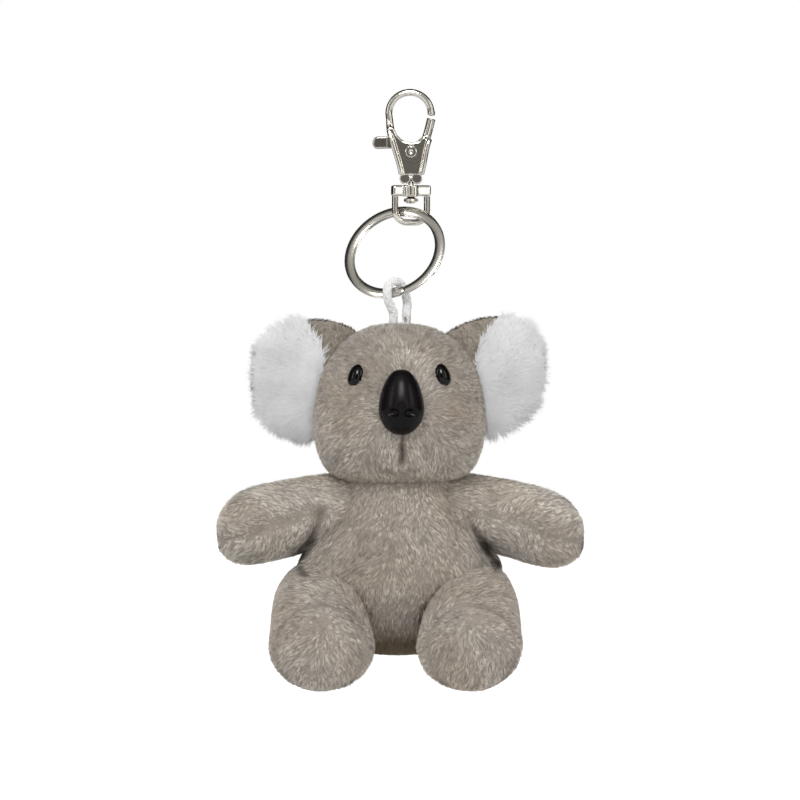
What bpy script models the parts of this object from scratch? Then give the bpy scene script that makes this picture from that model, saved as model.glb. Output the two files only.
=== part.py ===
"""A plush koala that hangs from a swivel snap clasp, a split ring and a cord loop.

Metres, +Z up. The origin is the inner top of the hook's eye, where the clasp hangs. The koala faces -Y, and
left and right are its own. Each cut forms a gap, so that no two sub-parts touch.
"""

import math

import bmesh
import bpy
from mathutils import Matrix, Vector
from mathutils.bvhtree import BVHTree

# General clearances.
GAP = 0.0003
OVERRUN = 0.003
WELD = 0.000002

# Hook body: the eye, the cheeks and the collar, cast in one.
EYE_WIRE = 0.0021
EYE_INNER_WIDTH = 0.0100
EYE_SIDE_SHIFT = -0.0003
EYE_NOSE_ANGLE = math.radians(-4.0)
BODY_TOP = 0.0090
BODY_WIDTH = 0.0123
BODY_HEIGHT = 0.0136
BODY_THICKNESS = 0.0050
BODY_EDGE_ROUND = 0.0005
SLOT_WIDTH = 0.0030
SLOT_TOP_SHARE = 0.155
SLOT_BOTTOM_SHARE = 0.845
RECESS_DEPTH = 0.00035
COLLAR_HEIGHT = 0.0026
COLLAR_LOBE_SPACING = 0.0034
COLLAR_THICKNESS = 0.0042
COLLAR_NECK_THICKNESS = 0.0034

# Points of the cheeks, as shares of BODY_WIDTH and BODY_HEIGHT, from the middle of the body's top.
CHEEK_OUTLINE_SHARES = (
    (-0.560, 0.000), (-0.400, 0.000), (-0.325, -0.160), (-0.180, -0.285), (0.015, -0.325), (0.180, -0.295),
    (0.285, -0.175), (0.425, -0.280), (0.440, -0.315), (0.375, -0.515), (0.340, -0.755), (0.270, -1.000),
    (-0.230, -1.000), (-0.310, -0.755), (-0.405, -0.515), (-0.530, -0.155),
)
RECESS_OUTLINE_SHARES = (
    (-0.310, -0.345), (0.285, -0.345), (0.270, -0.515), (0.235, -0.755), (0.190, -0.960), (-0.150, -0.960),
    (-0.205, -0.755), (-0.285, -0.515),
)

# Gate lever, pin and spring.
PIN_DROP = 0.0160
PIN_DIAMETER = 0.0016
PIN_HEAD_DIAMETER = 0.0034
PIN_HEAD_THICKNESS = 0.0005
PIN_DIMPLE_SHARE = 0.40
GATE_REACH = 0.0110
GATE_ARM_THICKNESS = 0.0020
GATE_PLATE_THICKNESS = 0.0009
GATE_TAB_THICKNESS = 0.0024
GATE_TAB_ROUND = 0.0004
SPRING_WIRE = 0.0003
SPRING_TURNS = 1.5
SPRING_POINTS_PER_TURN = 10
SPRING_PITCH = 0.00074

# Points of the lever's three prisms, as shares of GATE_REACH, from the pin.
GATE_PLATE_SHARES = (
    (0.330, 0.420), (0.480, 0.390), (0.400, 0.190), (0.173, 0.030), (0.110, -0.110), (0.000, -0.170),
    (-0.120, -0.120), (-0.175, -0.020), (-0.400, 0.070), (-0.620, 0.090), (-0.620, 0.400), (-0.370, 0.330),
    (-0.120, 0.170), (0.120, 0.250),
)
GATE_ARM_SHARES = (
    (0.450, 0.880), (0.585, 0.790), (0.510, 0.365), (0.335, 0.300), (0.300, 0.400),
)
GATE_TAB_SHARES = (
    (-0.560, 0.405), (-0.560, 0.085), (-0.900, 0.075), (-0.975, 0.120), (-1.005, 0.230), (-0.975, 0.340),
    (-0.900, 0.400),
)

# Swivel post and stirrup.
POST_DIAMETER = 0.0020
POST_NECK_DIAMETER = 0.0015
POST_HEAD_DIAMETER = 0.0041
POST_HEAD_HEIGHT = 0.0018
POST_TOP_HEIGHT = 0.0005
STIRRUP_WIRE = 0.0019
STIRRUP_WIDTH = 0.0113
STIRRUP_HEIGHT = 0.0116
STIRRUP_CORNER_RADIUS = 0.0034
STIRRUP_BAR_HEIGHT = 0.0031
STIRRUP_BAR_THICKNESS = 0.0032
STIRRUP_BAR_ROUND = 0.0006
STIRRUP_BOSS_DIAMETER = 0.0048
STIRRUP_TURN = math.radians(14.0)

# Split ring: two turns of flat wire, tilted as it lies.
RING_DIAMETER = 0.0300
RING_BAND = 0.0028
RING_WIRE = 0.0008
RING_TURN_GAP = 0.00044
RING_JOG_ANGLE = math.radians(26.0)
RING_END_ANGLE = math.radians(-74.0)
RING_END_GAP_ANGLE = math.radians(6.0)
RING_POINTS_PER_TURN = 24
RING_LEAN = math.radians(35.0)
RING_TILT = math.radians(36.0)
RING_HANG_ANGLE = math.radians(39.0)
RING_HANG_DROP = 0.0331
RING_CORD_ANGLE = math.radians(240.7)

# Cord loop: its route is chosen by hand, from the left end over the ring to the right end.
CORD_DIAMETER = 0.0024
CORD_POINTS = 26
CORD_ROUTE = (
    (-0.00500, -0.01290, -0.06360), (-0.00500, -0.01290, -0.06220), (-0.00570, -0.01350, -0.06040),
    (-0.00655, -0.01430, -0.05830), (-0.00675, -0.01460, -0.05630), (-0.00640, -0.01390, -0.05440),
    (-0.00480, -0.01160, -0.05310), (-0.00305, -0.00960, -0.05380), (-0.00195, -0.00885, -0.05550),
    (-0.00140, -0.00880, -0.05750), (-0.00110, -0.00960, -0.05980), (-0.00130, -0.01110, -0.06220),
    (-0.00130, -0.01110, -0.06360),
)
KNOT_SIZE = (0.0068, 0.0052, 0.0034)
KNOT_ROUND = 0.0008

# Soft forms: the fabric, its cage and the sizes of the koala.
SKIN = 0.0012
CAGE_SWELL_SHARE = 1.05
RING_SIDES = 10
LIMB_RING_SIDES = 8
KOALA_SIDE_SHIFT = -0.00326

HEAD_TOP_DROP = 0.0645
HEAD_WIDTH = 0.0502
HEAD_DEPTH = 0.0400
HEAD_HEIGHT = 0.0452
HEAD_FORWARD = 0.0120
# Rows: drop, width, depth and forward shift, as shares of the head's height, width, depth and depth.
HEAD_SHARES = (
    (0.000, 0.380, 0.380, 0.000), (0.035, 0.640, 0.620, 0.000), (0.170, 0.860, 0.850, 0.000),
    (0.340, 0.970, 0.960, 0.005), (0.520, 1.000, 1.000, 0.015), (0.700, 1.010, 1.000, 0.025),
    (0.850, 0.930, 0.920, 0.020), (0.965, 0.800, 0.760, 0.010), (1.000, 0.500, 0.450, 0.000),
)

TORSO_TOP_DROP = 0.1020
TORSO_WIDTH = 0.0570
TORSO_DEPTH = 0.0380
TORSO_HEIGHT = 0.0574
TORSO_FORWARD = 0.0080
TORSO_SHARES = (
    (0.000, 0.380, 0.360, 0.050), (0.050, 0.580, 0.560, 0.050), (0.200, 0.720, 0.740, 0.040),
    (0.350, 0.830, 0.860, 0.020), (0.520, 0.980, 0.980, 0.000), (0.680, 0.980, 1.020, 0.000),
    (0.850, 0.820, 0.920, 0.000), (0.960, 0.560, 0.680, 0.000), (1.000, 0.300, 0.380, 0.000),
)

ARM_REACH = 0.0522
ARM_HEIGHT = 0.0240
ARM_DEPTH = 0.0190
ARM_ROOT_DROP = 0.1176
ARM_FORWARD = 0.0085
ARM_TIP_DROP = {"left": 0.0086, "right": 0.0070}
# Rows: reach, height, depth and fall, as shares of the arm's reach, height, depth and tip drop.
ARM_SHARES = (
    (0.240, 0.500, 0.560, 0.000), (0.300, 0.760, 0.800, 0.060), (0.480, 0.880, 0.960, 0.240),
    (0.660, 1.000, 1.020, 0.520), (0.820, 0.980, 1.000, 0.780), (0.930, 0.760, 0.800, 0.920),
    (1.000, 0.360, 0.400, 1.000),
)

LEG_SPREAD = 0.0206
LEG_WIDTH = 0.0320
LEG_HEIGHT = 0.0270
LEG_BACK = 0.0010
LEG_LENGTH = 0.0430
LEG_HIP_DROP = 0.1462
LEG_FALL = 0.0112
# Rows: length, width, height and fall, as shares of the leg's length, width, height and fall.
LEG_SHARES = (
    (0.000, 0.360, 0.420, 0.000), (0.070, 0.600, 0.700, 0.000), (0.260, 0.780, 0.920, 0.050),
    (0.500, 0.830, 0.930, 0.330), (0.750, 0.940, 0.970, 0.720), (0.940, 1.000, 1.000, 0.960),
    (1.060, 1.000, 1.000, 1.000), (1.100, 0.900, 0.900, 1.000),
)
SOLE_DEPTH = 0.0032
SOLE_SHARES = ((0.000, 0.920), (0.080, 0.960), (0.550, 0.850), (1.000, 0.500))

EAR_SPREAD = 0.0262
EAR_DROP = 0.0815
EAR_WIDTH = 0.0346
EAR_HEIGHT = 0.0372
EAR_DEPTH = 0.0120
EAR_FORWARD = 0.0085
EAR_SHARES = (
    (-0.500, 0.300), (-0.470, 0.520), (-0.260, 0.880), (0.000, 1.000), (0.260, 0.880), (0.470, 0.520),
    (0.500, 0.300),
)
EAR_ROOT_TOP = (0.0147, 0.0674)
EAR_ROOT_BOTTOM = (0.0247, 0.0997)

# Eyes and nose: moulded shanks that washers lock inside the skin.
EYE_SPREAD = 0.0128
EYE_DROP = 0.0797
EYE_DIAMETER = 0.0066
EYE_DOME = 0.0030
SHANK_DIAMETER = 0.0018
SHANK_LENGTH = 0.0052
WASHER_DIAMETER = 0.0076
WASHER_THICKNESS = 0.0008
WASHER_SEAT = 0.0010
NOSE_SHIFT = 0.0005
NOSE_DROP = 0.0874
NOSE_WIDTH = 0.0130
NOSE_HEIGHT = 0.0180
NOSE_DEPTH = 0.0120
# Rows: drop and size, as shares of the nose's height and of its width and depth.
NOSE_SHARES = (
    (0.000, 0.340), (0.050, 0.560), (0.230, 0.840), (0.450, 0.970), (0.660, 1.030), (0.850, 0.860),
    (0.960, 0.560), (1.000, 0.340),
)

# Joint ranges that the cuts leave room for.
NECK_NOD = math.radians(8.0)
ARM_LIFT = math.radians(10.0)
ARM_FALL = math.radians(4.0)
LEG_LIFT = math.radians(10.0)
LEG_FALL_BACK = math.radians(6.0)
EAR_FLAP = math.radians(10.0)
SIDES = {"left": 1.0, "right": -1.0}

X_AXIS = Vector((1, 0, 0))
Y_AXIS = Vector((0, 1, 0))
Z_AXIS = Vector((0, 0, 1))

# Places that follow from the sizes above.
KOALA_SHIFT = Vector((KOALA_SIDE_SHIFT, 0, 0))
EYE_RADIUS = (EYE_INNER_WIDTH + EYE_WIRE) / 2
PIN_PLACE = Vector((0, 0, -PIN_DROP))
BODY_BOTTOM = BODY_TOP + BODY_HEIGHT
COLLAR_BOTTOM = BODY_BOTTOM + COLLAR_HEIGHT
STIRRUP_TOP = COLLAR_BOTTOM + GAP
STIRRUP_BAR_BOTTOM = STIRRUP_TOP + STIRRUP_BAR_HEIGHT
STIRRUP_BOTTOM = STIRRUP_TOP + STIRRUP_HEIGHT - STIRRUP_WIRE / 2
SWIVEL_PLACE = Vector((0, 0, -STIRRUP_TOP))
RING_PIVOT = Vector((0, 0, -STIRRUP_BOTTOM))
RING_MIDDLE_RADIUS = (RING_DIAMETER - RING_BAND) / 2
RING_U = Vector((math.cos(RING_LEAN), 0, math.sin(RING_LEAN)))
RING_V = Vector(
    (
        -math.sin(RING_LEAN) * math.cos(RING_TILT),
        math.sin(RING_TILT),
        math.cos(RING_LEAN) * math.cos(RING_TILT),
    )
)
RING_NORMAL = RING_U.cross(RING_V)


def ring_spoke(angle):
    """The direction from the split ring's centre at this angle round it."""
    return RING_U * math.cos(angle) + RING_V * math.sin(angle)


RING_CENTRE = Vector((0, 0, -RING_HANG_DROP)) - ring_spoke(RING_HANG_ANGLE) * RING_MIDDLE_RADIUS
CORD_PIVOT = RING_CENTRE + ring_spoke(RING_CORD_ANGLE) * RING_MIDDLE_RADIUS
CROWN_PLACE = KOALA_SHIFT + Vector((0, -HEAD_FORWARD, -HEAD_TOP_DROP))
NECK_PLACE = KOALA_SHIFT + Vector((0, -HEAD_FORWARD, -HEAD_TOP_DROP - HEAD_HEIGHT))


def empty_scene():
    """Removes every object that the file opened with."""
    for obj in list(bpy.data.objects):
        bpy.data.objects.remove(obj, do_unlink=True)


def new_collection(name):
    made = bpy.data.collections.new(name)
    bpy.context.scene.collection.children.link(made)
    return made


def new_finish(name, colour, roughness, metallic=0.0):
    """A plain Principled material of this sub-part's own."""
    made = bpy.data.materials.new(name + "_finish")
    made.use_nodes = True
    shader = made.node_tree.nodes["Principled BSDF"]
    shader.inputs["Base Color"].default_value = (*colour, 1.0)
    shader.inputs["Roughness"].default_value = roughness
    shader.inputs["Metallic"].default_value = metallic
    made.diffuse_color = (*colour, 1.0)
    return made


NICKEL = (0.62, 0.60, 0.56)
STEEL = (0.56, 0.56, 0.56)
GREY_TAB = (0.16, 0.16, 0.16)
PLUSH = (0.32, 0.28, 0.23)
PALE_PLUSH = (0.60, 0.60, 0.60)
STUFFING = (0.85, 0.85, 0.83)
CORD_WHITE = (0.70, 0.70, 0.71)
GLOSS_BLACK = (0.012, 0.010, 0.010)
CLEAR_PLASTIC = (0.75, 0.75, 0.72)

empty_scene()
PARTS = new_collection("plush_koala")
CUTTERS = new_collection("cutters")


def finish_part(obj, colour, roughness, metallic=0.0):
    """Gives a sub-part its own material and smooth shading."""
    obj.data.materials.clear()
    obj.data.materials.append(new_finish(obj.name, colour, roughness, metallic))
    obj.data.shade_smooth()
    return obj


def hide_cutter(obj):
    obj.hide_render = True
    obj.display_type = "WIRE"
    return obj


def object_from(shape, name, home):
    """Makes an object of a bmesh in this collection."""
    bmesh.ops.recalc_face_normals(shape, faces=shape.faces)
    mesh = bpy.data.meshes.new(name)
    shape.to_mesh(mesh)
    shape.free()
    obj = bpy.data.objects.new(name, mesh)
    home.objects.link(obj)
    return hide_cutter(obj) if home is CUTTERS else obj


def block(name, centre, size, home):
    """A box from the unit cube, scaled in its mesh."""
    shape = bmesh.new()
    bmesh.ops.create_cube(shape, size=1, matrix=Matrix.Translation(centre) @ Matrix.Diagonal((*size, 1)))
    return object_from(shape, name, home)


def rod(name, centre, axis, diameter, length, home, sides=20):
    """A cylinder along this axis."""
    shape = bmesh.new()
    turn = axis.to_track_quat("Z", "Y").to_matrix().to_4x4()
    bmesh.ops.create_cone(
        shape,
        cap_ends=True,
        segments=sides,
        radius1=diameter / 2,
        radius2=diameter / 2,
        depth=length,
        matrix=Matrix.Translation(centre) @ turn,
    )
    return object_from(shape, name, home)


def prism(name, points, thickness, middle, home):
    """A flat outline in X and Z with this thickness along Y, as a filled 2D curve made into a mesh."""
    outline = bpy.data.curves.new(name, "CURVE")
    outline.dimensions = "2D"
    outline.fill_mode = "BOTH"
    outline.extrude = thickness / 2
    spline = outline.splines.new("POLY")
    spline.points.add(len(points) - 1)
    for spot, (x, z) in zip(spline.points, points):
        spot.co = (x, z, 0, 1)
    spline.use_cyclic_u = True
    guide = bpy.data.objects.new(name + "_guide", outline)
    guide.matrix_world = Matrix.Translation((0, middle, 0)) @ Matrix.Rotation(math.radians(90.0), 4, "X")
    return meshed(guide, name, home)


def meshed(guide, name, home):
    """Makes a curve a mesh with welded caps and removes the curve."""
    bpy.context.scene.collection.objects.link(guide)
    bpy.context.view_layer.update()
    graph = bpy.context.evaluated_depsgraph_get()
    mesh = bpy.data.meshes.new_from_object(guide.evaluated_get(graph))
    mesh.transform(guide.matrix_world)
    bpy.data.objects.remove(guide, do_unlink=True)
    shape = bmesh.new()
    shape.from_mesh(mesh)
    bpy.data.meshes.remove(mesh)
    bmesh.ops.remove_doubles(shape, verts=shape.verts, dist=WELD)
    return object_from(shape, name, home)


def wire(name, points, diameter, home, resolution=2):
    """A round wire through these points, with filled caps."""
    path = bpy.data.curves.new(name, "CURVE")
    path.dimensions = "3D"
    path.twist_mode = "MINIMUM"
    path.bevel_depth = diameter / 2
    path.bevel_resolution = resolution
    path.use_fill_caps = True
    spline = path.splines.new("POLY")
    spline.points.add(len(points) - 1)
    for spot, place in zip(spline.points, points):
        spot.co = (*place, 1)
    return meshed(bpy.data.objects.new(name + "_guide", path), name, home)


def turned(name, profile, centre, axis, home, steps=20):
    """A turned shape: a profile of (radius, height) from top to bottom, swept round this axis by Screw."""
    shape = bmesh.new()
    spots = [shape.verts.new((radius, 0, height)) for radius, height in profile]
    for upper, lower in zip(spots, spots[1:]):
        shape.edges.new((upper, lower))
    mesh = bpy.data.meshes.new(name)
    shape.to_mesh(mesh)
    shape.free()
    obj = bpy.data.objects.new(name, mesh)
    home.objects.link(obj)
    obj.matrix_world = Matrix.Translation(centre) @ axis.to_track_quat("Z", "Y").to_matrix().to_4x4()
    screw = obj.modifiers.new("turn", "SCREW")
    screw.steps = steps
    screw.render_steps = steps
    screw.use_merge_vertices = True
    screw.merge_threshold = WELD
    return hide_cutter(obj) if home is CUTTERS else obj


def combine(obj, other, operation="DIFFERENCE"):
    """A Boolean modifier that stays on the object."""
    step = obj.modifiers.new(operation.lower() + "_" + other.name, "BOOLEAN")
    step.operation = operation
    step.solver = "EXACT"
    step.object = other
    return obj


def round_edges(obj, width, segments=2):
    step = obj.modifiers.new("rounding", "BEVEL")
    step.width = width
    step.segments = segments
    step.limit_method = "ANGLE"
    return obj


def smooth_route(points, count):
    """This many points along a smooth curve through a route's own points."""
    spots = [Vector(point) for point in points]
    ends = [spots[0] * 2 - spots[1], *spots, spots[-1] * 2 - spots[-2]]
    legs = len(spots) - 1
    route = []
    for step in range(count):
        along = step * legs / (count - 1)
        leg = min(int(along), legs - 1)
        t = along - leg
        before, start, end, after = ends[leg : leg + 4]
        route.append(
            (
                start * 2
                + (end - before) * t
                + (before * 2 - start * 5 + end * 4 - after) * t**2
                + (start * 3 - before - end * 3 + after) * t**3
            )
            / 2
        )
    return route


def least_self_gap(points, turn_points, thickness):
    """The least distance between points more than half a turn apart along a wound wire, less its thickness."""
    apart = turn_points // 2
    nearest = min(
        (points[i] - points[j]).length
        for i in range(len(points))
        for j in range(i + apart, len(points))
    )
    return nearest - thickness


def shared_outline(shares, width, height, centre):
    return [(centre[0] + x * width, centre[1] + z * height) for x, z in shares]


# Clasp.


def make_hook_body():
    """The eye, the two cheeks with the slot between them, and the collar with the bore of the post."""
    centre = Vector((EYE_SIDE_SHIFT, 0, EYE_WIRE / 2 - EYE_RADIUS))
    arc_points = 18
    arc = []
    for step in range(arc_points + 1):
        angle = EYE_NOSE_ANGLE + (math.pi - EYE_NOSE_ANGLE) * step / arc_points
        arc.append(centre + Vector((math.cos(angle), 0, math.sin(angle))) * EYE_RADIUS)
    cheeks = shared_outline(CHEEK_OUTLINE_SHARES, BODY_WIDTH, BODY_HEIGHT, (0, -BODY_TOP))
    shoulder_top = Vector((cheeks[0][0] + EYE_WIRE / 2, 0, cheeks[0][1]))
    arc.append(shoulder_top)
    arc.append(shoulder_top - Vector((-BODY_EDGE_ROUND, 0, EYE_WIRE)))
    body = round_edges(prism("hook_body", cheeks, BODY_THICKNESS, 0, PARTS), BODY_EDGE_ROUND, 1)
    eye = wire("hook_eye_wire", arc, EYE_WIRE, CUTTERS, 3)
    combine(body, eye, "UNION")
    neck = block(
        "collar_neck",
        Vector((0, 0, -BODY_BOTTOM)),
        (COLLAR_LOBE_SPACING, COLLAR_NECK_THICKNESS, COLLAR_HEIGHT),
        CUTTERS,
    )
    combine(body, neck, "UNION")
    lobe_diameter = COLLAR_HEIGHT + BODY_EDGE_ROUND
    for side, sign in SIDES.items():
        lobe = rod(
            "collar_lobe_" + side,
            Vector((sign * COLLAR_LOBE_SPACING / 2, 0, lobe_diameter / 2 - COLLAR_BOTTOM)),
            Y_AXIS,
            lobe_diameter,
            COLLAR_THICKNESS,
            CUTTERS,
        )
        combine(body, lobe, "UNION")
    slot_top = BODY_TOP + SLOT_TOP_SHARE * BODY_HEIGHT
    slot_bottom = BODY_TOP + SLOT_BOTTOM_SHARE * BODY_HEIGHT
    slot = block(
        "gate_slot",
        Vector((0, 0, -(slot_top + slot_bottom) / 2)),
        (2 * BODY_WIDTH, SLOT_WIDTH, slot_bottom - slot_top),
        CUTTERS,
    )
    combine(body, slot)
    recess = shared_outline(RECESS_OUTLINE_SHARES, BODY_WIDTH, BODY_HEIGHT, (0, -BODY_TOP))
    for side, sign in SIDES.items():
        face = sign * BODY_THICKNESS / 2
        combine(body, prism("cheek_recess_" + side, recess, 2 * RECESS_DEPTH, face, CUTTERS))
    pin_hole = PIN_DIAMETER + 2 * GAP
    pin_bore = rod("pin_bore", PIN_PLACE, Y_AXIS, pin_hole, BODY_THICKNESS + OVERRUN, CUTTERS)
    combine(body, pin_bore)
    bore_length = COLLAR_BOTTOM - slot_bottom + 2 * GAP
    bore = rod(
        "post_bore",
        Vector((0, 0, -(COLLAR_BOTTOM + slot_bottom) / 2)),
        Z_AXIS,
        POST_NECK_DIAMETER + 2 * GAP,
        bore_length,
        CUTTERS,
    )
    combine(body, bore)
    return finish_part(body, NICKEL, 0.22, 1.0)


def make_gate_pin():
    """The rivet: a shaft with a dimpled head outside each cheek."""
    face = BODY_THICKNESS / 2 - RECESS_DEPTH + GAP / 2
    top = face + PIN_HEAD_THICKNESS
    head = PIN_HEAD_DIAMETER / 2
    dimple = head * PIN_DIMPLE_SHARE
    upper = [
        (0, top - PIN_HEAD_THICKNESS / 2),
        (dimple, top),
        (head - PIN_HEAD_THICKNESS / 2, top),
        (head, face),
        (PIN_DIAMETER / 2, face),
    ]
    lower = [(radius, -height) for radius, height in reversed(upper)]
    return finish_part(turned("gate_pin", upper + lower, PIN_PLACE, -Y_AXIS, PARTS, 14), NICKEL, 0.3, 1.0)


def make_gate_lever():
    """The gate arm, the thin plate between the cheeks and the thumb tab, joined in one piece."""
    centre = (0, -PIN_DROP)
    plate_middle = -SLOT_WIDTH / 2 + GAP / 2 + GATE_PLATE_THICKNESS / 2
    outline = shared_outline(GATE_PLATE_SHARES, GATE_REACH, GATE_REACH, centre)
    lever = prism("gate_lever", outline, GATE_PLATE_THICKNESS, plate_middle, PARTS)
    arm_outline = shared_outline(GATE_ARM_SHARES, GATE_REACH, GATE_REACH, centre)
    arm = prism("gate_arm", arm_outline, GATE_ARM_THICKNESS, 0, CUTTERS)
    combine(lever, round_edges(arm, GATE_TAB_ROUND), "UNION")
    tab_outline = shared_outline(GATE_TAB_SHARES, GATE_REACH, GATE_REACH, centre)
    tab = prism("gate_tab", tab_outline, GATE_TAB_THICKNESS, 0, CUTTERS)
    combine(lever, round_edges(tab, GATE_TAB_ROUND), "UNION")
    bore = rod("lever_bore", PIN_PLACE, Y_AXIS, PIN_DIAMETER + 2 * GAP, BODY_THICKNESS, CUTTERS)
    combine(lever, bore)
    return finish_part(lever, GREY_TAB, 0.4, 0.6)


def make_gate_spring():
    """A short torsion coil round the pin, beside the lever's plate."""
    radius = (PIN_DIAMETER + SPRING_WIRE) / 2 + 2 * GAP
    start = SLOT_WIDTH / 2 - GAP / 2 - SPRING_WIRE / 2
    count = int(SPRING_POINTS_PER_TURN * SPRING_TURNS)
    points = []
    for step in range(count + 1):
        turn = step / SPRING_POINTS_PER_TURN
        angle = 2 * math.pi * turn
        spoke = Vector((math.cos(angle), 0, math.sin(angle))) * radius
        points.append(PIN_PLACE + spoke + Y_AXIS * (start - SPRING_PITCH * turn))
    gap = least_self_gap(points, SPRING_POINTS_PER_TURN, SPRING_WIRE)
    print(f"gate_spring least gap to itself: {gap * 1000:.2f} mm")
    return finish_part(wire("gate_spring", points, SPRING_WIRE, PARTS, 1), STEEL, 0.3, 1.0)


def make_swivel_post():
    """The stem that the stirrup turns on, flared below the stirrup's bar and headed inside the slot."""
    slot_bottom = -(BODY_TOP + SLOT_BOTTOM_SHARE * BODY_HEIGHT)
    neck = POST_NECK_DIAMETER / 2
    stem = POST_DIAMETER / 2
    flare_top = -STIRRUP_BAR_BOTTOM - GAP
    rivet = SLOT_WIDTH / 2 - GAP
    profile = [
        (0, slot_bottom + GAP + POST_TOP_HEIGHT),
        (rivet, slot_bottom + GAP + POST_TOP_HEIGHT),
        (rivet, slot_bottom + GAP),
        (neck, slot_bottom + GAP),
        (neck, -STIRRUP_TOP),
        (stem, -STIRRUP_TOP),
        (stem, flare_top),
        (POST_HEAD_DIAMETER / 2, flare_top - POST_HEAD_HEIGHT / 3),
        (POST_HEAD_DIAMETER / 2, flare_top - 2 * POST_HEAD_HEIGHT / 3),
        (stem, flare_top - POST_HEAD_HEIGHT),
        (0, flare_top - POST_HEAD_HEIGHT),
    ]
    return finish_part(turned("swivel_post", profile, Vector(), Z_AXIS, PARTS, 16), NICKEL, 0.25, 1.0)


def make_stirrup():
    """The U of wire under its cross bar, turned a little on the post as it lies."""
    side = (STIRRUP_WIDTH - STIRRUP_WIRE) / 2
    corner = STIRRUP_CORNER_RADIUS
    corner_points = 6
    points = [Vector((-side, 0, -STIRRUP_BAR_BOTTOM + STIRRUP_BAR_HEIGHT / 2))]
    for sign, first, last in ((-1, math.pi, 1.5 * math.pi), (1, 1.5 * math.pi, 2 * math.pi)):
        centre = Vector((sign * (side - corner), 0, corner - STIRRUP_BOTTOM))
        for step in range(corner_points + 1):
            angle = first + (last - first) * step / corner_points
            points.append(centre + Vector((math.cos(angle), 0, math.sin(angle))) * corner)
    points.append(Vector((side, 0, -STIRRUP_BAR_BOTTOM + STIRRUP_BAR_HEIGHT / 2)))
    bar = block(
        "swivel_stirrup",
        Vector((0, 0, -STIRRUP_TOP - STIRRUP_BAR_HEIGHT / 2)),
        (STIRRUP_WIDTH, STIRRUP_BAR_THICKNESS, STIRRUP_BAR_HEIGHT),
        PARTS,
    )
    round_edges(bar, STIRRUP_BAR_ROUND)
    combine(bar, wire("stirrup_wire", points, STIRRUP_WIRE, CUTTERS), "UNION")
    boss = rod(
        "stirrup_boss",
        Vector((0, 0, -STIRRUP_TOP - STIRRUP_BAR_HEIGHT / 2)),
        Z_AXIS,
        STIRRUP_BOSS_DIAMETER,
        STIRRUP_BAR_HEIGHT,
        CUTTERS,
    )
    combine(bar, boss, "UNION")
    bore = rod(
        "stirrup_bore",
        Vector((0, 0, -STIRRUP_TOP - STIRRUP_BAR_HEIGHT / 2)),
        Z_AXIS,
        POST_DIAMETER + 2 * GAP,
        STIRRUP_BAR_HEIGHT + OVERRUN,
        CUTTERS,
    )
    combine(bar, bore)
    turn = Matrix.Rotation(STIRRUP_TURN, 4, "Z")
    for piece in [bar, *(step.object for step in bar.modifiers if step.type == "BOOLEAN")]:
        piece.matrix_world = turn @ piece.matrix_world
    return finish_part(bar, NICKEL, 0.22, 1.0)


def ring_track():
    """Angle and height of each point of the split ring's wire, over its two turns and the jog between them."""
    rise = RING_WIRE + RING_TURN_GAP
    whole = 4 * math.pi - RING_JOG_ANGLE - RING_END_GAP_ANGLE
    count = 2 * RING_POINTS_PER_TURN
    track = []
    for step in range(count + 1):
        along = whole * step / count
        from_jog = (along - whole / 2) / RING_JOG_ANGLE
        share = min(max(from_jog + 0.5, 0.0), 1.0)
        height = rise * (share * share * (3 - 2 * share) - 0.5)
        track.append((RING_END_ANGLE + along, height))
    return track


def make_split_ring():
    """Two turns of flat wire in one strip, lofted with a flat section along its track."""
    shape = bmesh.new()
    half_band = RING_BAND / 2
    half_wire = RING_WIRE / 2
    bead = half_wire / 2
    corners = (
        (half_band, half_wire - bead), (half_band - bead, half_wire), (bead - half_band, half_wire),
        (-half_band, half_wire - bead), (-half_band, bead - half_wire), (bead - half_band, -half_wire),
        (half_band - bead, -half_wire), (half_band, bead - half_wire),
    )
    loops = []
    middles = []
    for angle, height in ring_track():
        spoke = ring_spoke(angle)
        middle = RING_CENTRE + spoke * RING_MIDDLE_RADIUS + RING_NORMAL * height
        middles.append(middle)
        loops.append([shape.verts.new(middle + spoke * out + RING_NORMAL * up) for out, up in corners])
    for first, second in zip(loops, loops[1:]):
        for i in range(len(corners)):
            j = (i + 1) % len(corners)
            shape.faces.new((first[i], first[j], second[j], second[i]))
    shape.faces.new(loops[0])
    shape.faces.new(loops[-1])
    gap = least_self_gap(middles, RING_POINTS_PER_TURN, RING_WIRE)
    print(f"split_ring least gap to itself: {gap * 1000:.2f} mm")
    return finish_part(object_from(shape, "split_ring", PARTS), NICKEL, 0.2, 1.0)


def make_cord_loop():
    points = smooth_route(CORD_ROUTE, CORD_POINTS)
    return finish_part(wire("cord_loop", points, CORD_DIAMETER, PARTS), CORD_WHITE, 0.9)


def make_cord_knot(name, home, clearance=0.0):
    """The tacked knot under the crown, which the two ends of the cord meet."""
    ends_middle = (Vector(CORD_ROUTE[0]) + Vector(CORD_ROUTE[-1])) / 2
    top = CORD_ROUTE[0][2] - GAP
    size = [side + 2 * clearance for side in KNOT_SIZE]
    centre = Vector((ends_middle.x, ends_middle.y, top - KNOT_SIZE[2] / 2))
    return round_edges(block(name, centre, size, home), KNOT_ROUND)


# Soft forms.


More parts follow.
